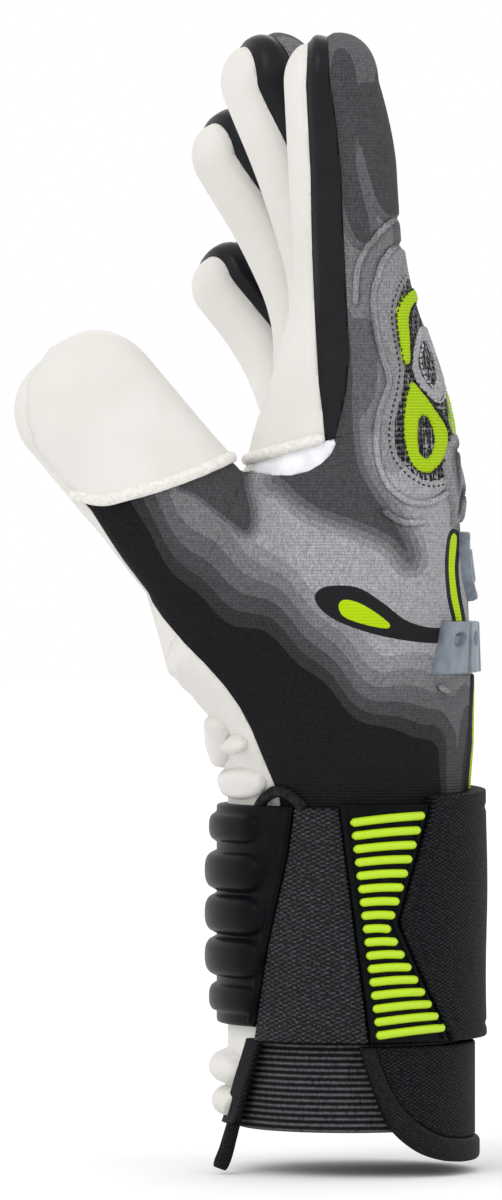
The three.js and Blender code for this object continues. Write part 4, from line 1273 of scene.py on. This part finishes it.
def make_tape():
    """The tape down the cuff's edge, and the pull loop that goes on from it."""
    right = edge_line(TAPE_RIGHT, -0.6, 22)
    left = edge_line(TAPE_RIGHT, -0.6, 22, -TAPE_WIDTH)
    tape = wrap(left, right, 2.6, 4.6, edge=0.7, columns=10, rows=24)
    add("cuff_edge_tape", tape, BINDING, "hand", True)
    add("pull_loop", band(LOOP_PATH, LOOP_WIDTH / 2, LOOP_THICK / 2), BINDING, "pull_loop", True)


def band(path, half_width, half_thick, count=40):
    """A flat tape along a path, its width square to the path in the plane of the loop's side."""
    p = curve_through(path, count)
    direction = unit(np.gradient(p, axis=0))
    wide = unit(np.cross(direction, unit(LOOP_OUT)))
    thick = np.cross(wide, direction)
    corner = [(-1, -0.6), (-0.85, -1), (0.85, -1), (1, -0.6), (1, 0.6), (0.85, 1), (-0.85, 1), (-1, 0.6)]
    rings = [p + wide * half_width * a + thick * half_thick * b for a, b in corner]
    verts = np.stack(rings, axis=1).reshape(-1, 3)
    k = len(corner)
    faces = []
    for i in range(count - 1):
        for j in range(k):
            a, b = i * k + j, i * k + (j + 1) % k
            faces.append([a, b, b + k, a + k])
    faces.append(list(range(k))[::-1])
    faces.append([(count - 1) * k + j for j in range(k)])
    along = np.repeat(np.linspace(0, 30, count), k)
    return verts, faces, {"cloth_u": np.tile([c[0] * half_width for c in corner], count), "cloth_v": along}


# ------------------------------------------------------------------ trim that follows a seam
def seam_path(mesh, *keys):
    """The open border along which a cut field is zero, as an even smooth line with its normals."""
    rim = border(mesh["tris"])
    zero = np.ones(len(mesh["verts"]), bool)
    for key in keys:
        zero &= np.abs(mesh[key]) < 1e-6
    rim = rim[zero[rim].all(axis=1)]
    following = {int(a): int(b) for a, b in rim}
    starts = set(following) - set(following.values())
    best = []
    for start in sorted(starts) or list(following)[:1]:
        chain = [start]
        while chain[-1] in following and len(chain) <= len(following):
            chain.append(following[chain[-1]])
        best = max(best, chain, key=len)
    points, normals = mesh["verts"][best], mesh["normals"][best]
    length = arc_length(points)
    at = np.linspace(0, length[-1], max(8, int(length[-1] / 0.9)))

    def evenly(values):
        return np.stack([np.interp(at, length, values[:, i]) for i in range(3)], axis=1)

    points, normals = evenly(points), evenly(normals)
    for _ in range(6):
        points[1:-1] = (points[:-2] + 2 * points[1:-1] + points[2:]) / 4
    return points, unit(normals)


def rope(points, radius, sides=10, rough=0.0, seed=1, flat=1.0, normals=None):
    """A closed tube along points. rough makes it fluffy, and flat squeezes it along the normals."""
    count = len(points)
    direction = unit(np.gradient(points, axis=0))
    up = np.tile([0.0, 0.0, 1.0], (count, 1)) if normals is None else normals
    side = unit(np.cross(direction, up))
    up = np.cross(side, direction)
    random = np.random.default_rng(seed)
    length = arc_length(points)
    to_end = np.clip(np.minimum(length, length[-1] - length) / radius, 0, 1)
    taper = np.maximum(np.sqrt(1 - (1 - to_end) ** 2), 0.35)
    rings = []
    for i in range(sides):
        a = 2 * math.pi * i / sides
        noise = np.convolve(random.standard_normal(count + 4), [0.2, 0.45, 0.6, 0.45, 0.2], "valid")
        size = radius * taper * (1 + rough * noise)
        across, above = size * math.cos(a), size * math.sin(a) * flat
        rings.append(points + side * across[:, None] + up * above[:, None])
    verts = np.stack(rings, axis=1).reshape(-1, 3)
    faces = []
    for i in range(count - 1):
        for j in range(sides):
            a, b = i * sides + j, i * sides + (j + 1) % sides
            faces.append([a, b, b + sides, a + sides])
    faces.append(list(range(sides))[::-1])
    faces.append([(count - 1) * sides + j for j in range(sides)])
    return verts, faces, {}


def stitch_row(points, normals, pitch=2.6, length=1.7, radius=0.22, lift=0.1):
    """Separate short stitches along a line."""
    way = arc_length(points)
    rows = []
    for start in np.arange(pitch, way[-1] - pitch, pitch):
        at = start + np.array([0, 0.15, 0.5, 0.85, 1]) * length
        p = np.stack([np.interp(at, way, points[:, i]) for i in range(3)], axis=1)
        n = unit(np.stack([np.interp(at, way, normals[:, i]) for i in range(3)], axis=1))
        height = np.array([-0.25, 0.02, lift, 0.02, -0.25])
        rows.append(rope(p + n * height[:, None], radius, 5, normals=n))
    return merged(rows)


def skin_line(outline, names, lift=0.0):
    """Points given in X and Z, moved along Y onto the skin's thumb side, without those that miss it."""
    p = np.stack([outline[:, 0], np.full(len(outline), -80.0), outline[:, 1]], axis=1)
    done = np.zeros(len(p), bool)
    for _ in range(70):
        done |= skin_distance(p, names) < 0
        p[~done, 1] += 1
    p = p[done]
    for _ in range(3):
        normals, value = gradient(p, names)
        p = p - normals * value[:, None]
    return p + normals * lift, normals


# ------------------------------------------------------------------ raised pieces on the skin
def patch_skin(names, low, high, step):
    """A finer piece of skin to cut raised pieces from."""
    mesh = skin_mesh(names, low, high, step)
    dress(mesh)
    return mesh


def inlay(mesh, plane, outline, holes=(), limit=None):
    """The part of the skin inside an outline in a plane ("side" is X and Z, "back" is Y and Z)."""
    axes = [0, 2] if plane == "side" else [1, 2]
    flat = mesh["verts"][:, axes]
    field = shape_distance(flat, outline)
    for hole in holes:
        field = np.minimum(field, -shape_distance(flat, hole))
    if plane == "side":
        field = np.minimum(field, (-36 if limit is None else limit) - mesh["verts"][:, 1])
    else:
        field = np.minimum(field, mesh["verts"][:, 0] - (5 if limit is None else limit))
    mesh = dict(mesh)
    mesh["edge"] = field
    inside, _ = part(mesh, field)
    return inside


RAISED_DEPTH = 0.9  # how far a raised piece goes on below the skin
PATCH_STEP = 0.8


def raised(name, mesh, look, height, soft=1.0, sunk=0.5, node=None, base=0.0, wave=None):
    """A raised piece with a soft edge, closed below the skin."""
    near = np.clip(mesh["edge"] / soft, 0, 1)
    rise = base - sunk * (near <= 0) + height * np.sqrt(1 - (1 - near) ** 2)
    if wave is not None:
        rise = rise + wave(mesh) * near
    return sheet_from(name, mesh, look, RAISED_DEPTH, rise, node)


INDEX_DARK = rounded([
    (16, 217), (12.3, 214.6), (9.9, 207), (10.8, 199), (12.2, 192.5), (11.6, 187), (10.2, 181),
    (9.6, 175), (10.8, 169.5), (14, 165.3), (18.9, 162.6), (24, 163.6), (28, 168), (31, 176),
    (30, 190), (25, 202), (20, 212),
], 90)
INDEX_LIME_TOP = rounded([
    (16, 212.6), (12.9, 210.8), (11, 206.5), (11.6, 200), (12.9, 193.6), (14.6, 193.4), (14.6, 199),
    (14.1, 205), (15.4, 208.6), (18, 209.6),
], 60)
INDEX_LIME_RING = rounded([
    (15, 189), (13.4, 184), (13.1, 176), (14.3, 169.5), (17, 166), (20.4, 166.2), (23.3, 170.5),
    (23.8, 176.5), (20.8, 182), (17.6, 186.5),
], 60)
INDEX_HOLE = rounded([
    (17.4, 180), (16.7, 175), (17.4, 170.6), (19.3, 169.9), (20.7, 173), (20.4, 177), (18.9, 180),
], 40)
INDEX_GREY = rounded([
    (17, 203), (15.6, 198), (15.2, 192), (17.5, 187), (21.8, 183.6), (23, 190), (21, 197), (19, 202),
], 50)
INDEX_DIAMOND = rounded([(17.6, 199), (16.8, 193), (19.8, 187.4), (21, 190.5), (19.4, 196.5)], 36)
INDEX_STRIP = rounded([
    (22.8, 195), (22.4, 190), (23.7, 183), (25, 176), (27, 173.5), (27.4, 180), (25.6, 188),
    (24, 195),
], 40)


WELT_RADIUS, WELT_LIGHTER = 0.8, 0.12


def make_index_knuckle():
    """The loops and rings knitted over the index knuckle, as the thumb side shows them."""
    skin = patch_skin(["index"], (2, -57, 156), (34, -22, 226), 0.65)
    dark = inlay(skin, "side", INDEX_DARK, limit=-33)
    grey = inlay(skin, "side", INDEX_GREY, [INDEX_DIAMOND])
    grey["contour"] = np.full(len(grey["verts"]), 0.9)
    loops = [
        ("index_ring_grey", grey, KNIT, "knit"),
        ("index_loop_lime_top", inlay(skin, "side", INDEX_LIME_TOP), LIME_KNIT, "lime"),
        ("index_loop_lime", inlay(skin, "side", INDEX_LIME_RING, [INDEX_HOLE]), LIME_KNIT, "lime"),
        ("index_strip_lime", inlay(skin, "side", INDEX_STRIP), LIME_KNIT, "lime"),
    ]
    pad_name = "index_knuckle_pad"
    pieces = [raised(pad_name, dark, RIBS_DARK, height=0.8, soft=1.2, node=pad_name)]
    for name, mesh, look, slot in loops:
        pieces.append(raised(name, mesh, look, height=0.9, soft=0.7, base=0.7))
    edges = [
        (INDEX_DARK, 0.34, THREAD_DARK, 0.5), (INDEX_LIME_RING, 0.26, THREAD_DARK, 1.2),
        (INDEX_LIME_TOP, 0.24, THREAD_DARK, 1.2), (INDEX_GREY, 0.3, THREAD_LIGHT, 1.2),
        (INDEX_DIAMOND, 0.3, THREAD_LIGHT, 1.2), (INDEX_STRIP, 0.26, THREAD_LIGHT, 1.2),
    ]
    for i, (outline, radius, look, lift) in enumerate(edges):
        edge = curve_through(np.vstack([outline, outline[:1]]), len(outline) * 2)
        runs = stretches(*skin_line(edge, ["index"], lift))
        rows = [stitch_row(p, n, pitch=1.5, length=1.1, radius=radius, lift=0.2) for p, n in runs]
        pieces.append(add(f"index_edge_stitches_{i}", merged(rows), look))
    for i, line in enumerate(EMBOSS_LINES):
        welts = []
        for p, n in stretches(*skin_line(line, ["index"], 0.15)):
            welts.append(rope(p, WELT_RADIUS, 10, flat=0.75, normals=n))
        verts, faces, data = merged(welts)
        data = {"cloth_u": verts[:, 0], "cloth_v": verts[:, 2]}
        data["contour"] = np.minimum(contour_level(verts) + WELT_LIGHTER, 0.9)
        pieces.append(add(f"index_welt_{i}", (verts, faces, data), KNIT))
    for piece in pieces:
        bend_piece(piece)


def stretches(points, normals, gap=3.0, fewest=6):
    """The runs of a line between the gaps where it left the skin's thumb side."""
    near = points[:, 1] < -30
    points, normals = points[near], normals[near]
    jump = np.where(np.linalg.norm(np.diff(points, axis=0), axis=1) > gap)[0] + 1
    ends = [0, *jump, len(points)]
    return [(points[a:b], normals[a:b]) for a, b in zip(ends, ends[1:]) if b - a >= fewest]


BACK_PADS = {"middle": (-12.8, 208, 8.2, 15), "ring": (13, 204, 8.2, 15), "little": (38.5, 193, 7.8, 9.5)}


def oval(y, z, half_y, half_z, count=40, point=0.0):
    turn = np.linspace(0, 2 * math.pi, count, endpoint=False)
    squeeze = 1 - point * np.clip(np.sin(turn), 0, 1) ** 2
    return np.stack([y + half_y * np.cos(turn) * squeeze, z + half_z * np.sin(turn)], axis=1)


def make_back_pads():
    """The padded loops over the other knuckles."""
    for name, (y, z, half_y, half_z) in BACK_PADS.items():
        low, high = (-14, y - 13, z - half_z - 4), (24, y + 13, z + half_z + 4)
        skin = patch_skin([name], low, high, PATCH_STEP)
        pad = inlay(skin, "back", oval(y, z, half_y, half_z, point=0.35), limit=-12)
        pad["contour"] = np.full(len(pad["verts"]), 0.22)
        outer = oval(y, z - 1, half_y * 0.68, half_z * 0.72, point=0.45)
        inner = oval(y, z - 2, half_y * 0.3, half_z * 0.38, point=0.3)
        loop = inlay(skin, "back", outer, [inner], limit=-12)
        pad_name = f"{name}_knuckle_pad"
        pieces = [
            raised(pad_name, pad, KNIT, height=1.7, soft=2.2, node=pad_name),
            raised(f"{name}_loop_lime", loop, LIME_KNIT, height=0.7, soft=0.7, base=1.7),
        ]
        for piece in pieces:
            bend_piece(piece)


HAND_PAD = rounded([
    (-45, 166), (-43, 175), (-26, 177.5), (-12.6, 175.5), (0, 177.5), (13, 175), (26, 175), (36, 168),
    (46, 163), (44, 156), (36, 153), (24, 152.5), (12, 157), (0, 153.5), (-12, 157), (-26, 152.5),
    (-40, 157),
], 110)
FLASH = rounded([
    (-9, 86), (0, 85), (9, 86), (11.5, 98), (12, 105), (9, 112.8), (0, 113.6), (-9, 112.8),
    (-12, 105), (-11.5, 98),
], 60)
BADGE = [
    (-14, 133.5), (14, 133.5), (20, 138.5), (20, 147), (14, 151.5), (-14, 151.5), (-20, 147),
    (-20, 138.5),
]
GRIP = dict(count=6, pitch=12.4, breadth=11.0, low=115, high=128.6, rail=35, limit=16)


def inset(outline, by):
    p = np.array(outline, float)
    centre = p.mean(axis=0)
    size = np.abs(p - centre).max(axis=0)
    return centre + (p - centre) * (1 - by / size)


def pad_channel(mesh):
    """A sewn channel inside the edge of the pad across the knuckles."""
    return -0.9 * np.exp(-(((mesh["edge"] - 4.6) / 0.7) ** 2))


def badge_groove(mesh):
    """A groove that follows the badge's outline."""
    return -0.9 * smooth((mesh["edge"] - 2.2) / 0.6) + 0.9 * smooth((mesh["edge"] - 4.4) / 0.6)


def make_back():
    fine = 0.8
    skin = patch_skin(list(FINGERS), (12, -50, 84), (36, 50, 182), fine)
    pad = inlay(skin, "back", HAND_PAD, limit=8)
    pad["contour"] = np.clip(0.72 - 0.5 * np.exp(-((pad["edge"] - 4.2) / 1.6) ** 2), 0, 1)
    name = "hand_knuckle_pad"
    piece = raised(name, pad, KNIT, height=2.0, soft=2.4, node=name, wave=pad_channel)
    flash = inlay(skin, "back", FLASH, limit=20)
    name = "dorsal_flash"
    pieces = [piece, raised(name, flash, LIME_KNIT, height=0.9, soft=0.9, node=name)]
    edge = inlay(skin, "back", inset(FLASH, -1.3), [inset(FLASH, 0.3)], limit=20)
    pieces.append(raised("dorsal_flash_edge", edge, THREAD_DARK, height=0.9, soft=0.5))
    crisp = patch_skin([], (14, -44, 112), (36, 44, 154), 0.6)
    badge = inlay(crisp, "back", BADGE, limit=20)
    name = "dorsal_badge"
    pieces.append(raised(
        name, badge, SLATE, height=2.6, soft=0.7, node=name, wave=badge_groove,
    ))
    low, high, half = GRIP["low"], GRIP["high"], GRIP["breadth"] / 2
    rail = rectangle(-GRIP["rail"], low + 3, GRIP["rail"], high - 3)
    made = inlay(crisp, "back", rail, limit=GRIP["limit"])
    pieces.append(raised("dorsal_grip_rail", made, SLATE, height=1.2, soft=0.5))
    for i in range(GRIP["count"]):
        y = (i - (GRIP["count"] - 1) / 2) * GRIP["pitch"]
        hole = oval(y, (low + high) / 2 + 2.2, 2.6, 1.5, 20)
        made = inlay(crisp, "back", rectangle(y - half, low, y + half, high), [hole], limit=GRIP["limit"])
        node = "dorsal_grip_bar" if i == 0 else None
        pieces.append(raised(
            f"dorsal_grip_block_{i}", made, SLATE, height=2.7, soft=0.6, node=node,
        ))
    for made in pieces:
        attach(made, "hand")


HEEL_PADS = [((-34.6, 97), (4.4, 7.4)), ((-29, 97.4), (3.4, 2.4)), ((-27.4, 87), (6.4, 4.2))]


def make_heel_pads():
    """Foam pads in relief on the latex at the heel of the hand."""
    skin = patch_skin([], (-42, -44, 79), (-14, 34, 112), PATCH_STEP)
    for i, ((x, z), (half_x, half_z)) in enumerate(HEEL_PADS):
        pad = inlay(skin, "side", oval(x, z, half_x, half_z), limit=26)
        piece = raised(f"heel_pad_{i}", pad, LATEX, height=2.6, soft=2.4)
        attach(piece, "hand")


def make_trim():
    """Foam hems of the thumb's cap and of the index finger's palm."""
    points, normals = seam_path(SKIN["thumb_cap"], "hem")
    hem = rope(points + normals * 0.6, 1.6, 14, rough=0.025, seed=4, flat=0.85, normals=normals)
    bend_thumb(add("thumb_hem", hem, HEM))
    points, normals = seam_path(SKIN["index_latex"], "cut")
    keep = points[:, 1] < -33
    points, normals = points[keep], normals[keep]
    path = points + normals * 0.3 + np.array([0, 0, 1.0])
    hem = rope(path, 1.5, 14, rough=0.025, seed=5, flat=0.8, normals=normals)
    add("index_hem", hem, HEM, "hand")


make_hand()
for finger_name in FINGERS:
    make_finger(finger_name)
make_strap()
make_cuff()
make_index_knuckle()
make_back_pads()
make_back()
make_heel_pads()
make_trim()


# ------------------------------------------------------------------ camera, light and floor
VIEW_HEIGHT, CAMERA_AT = 303.1, np.array([-25.0, -2000, 133.9])
FACE_Y = -45  # the thumb side's depth, where the view height is measured
SENSOR = 36
FLOOR_HALF, FLOOR_GAP = 12000, 1
LIGHTS = [("key", (48, 0, -32), 0.75), ("fill", (62, 0, 55), 0.18), ("back", (60, 0, 170), 0.3)]


def make_stage():
    scene = bpy.context.scene
    camera = bpy.data.objects.new("camera", bpy.data.cameras.new("camera"))
    scene.collection.objects.link(camera)
    camera.location = CAMERA_AT * MM
    camera.rotation_euler = (math.pi / 2, 0, 0)
    camera.data.sensor_width = SENSOR
    camera.data.lens = SENSOR * (FACE_Y - CAMERA_AT[1]) / VIEW_HEIGHT
    camera.data.clip_end = 60
    scene.camera = camera
    world = bpy.data.worlds.new("studio")
    scene.world = world
    world.use_nodes = True
    world.node_tree.nodes["Background"].inputs["Color"].default_value = (1, 1, 1, 1)
    world.node_tree.nodes["Background"].inputs["Strength"].default_value = 1.0
    scene.view_settings.view_transform = "Standard"
    for name, turn, strength in LIGHTS:
        light = bpy.data.objects.new(name, bpy.data.lights.new(name, "SUN"))
        light.data.energy = strength
        light.data.angle = math.radians(35)
        light.rotation_euler = [math.radians(a) for a in turn]
        scene.collection.objects.link(light)
    floor_z = CAD_BOX[0][2] / MM - FLOOR_GAP
    outline = rectangle(-FLOOR_HALF, -FLOOR_HALF, FLOOR_HALF, FLOOR_HALF)
    paint = Look("floor", (0.93, 0.93, 0.93), 0.95, Specular_IOR_Level=0.0).material
    floor = make_object("floor", [(x, y, floor_z) for x, y in outline], [(0, 1, 2, 3)], looks=[paint])


make_stage()
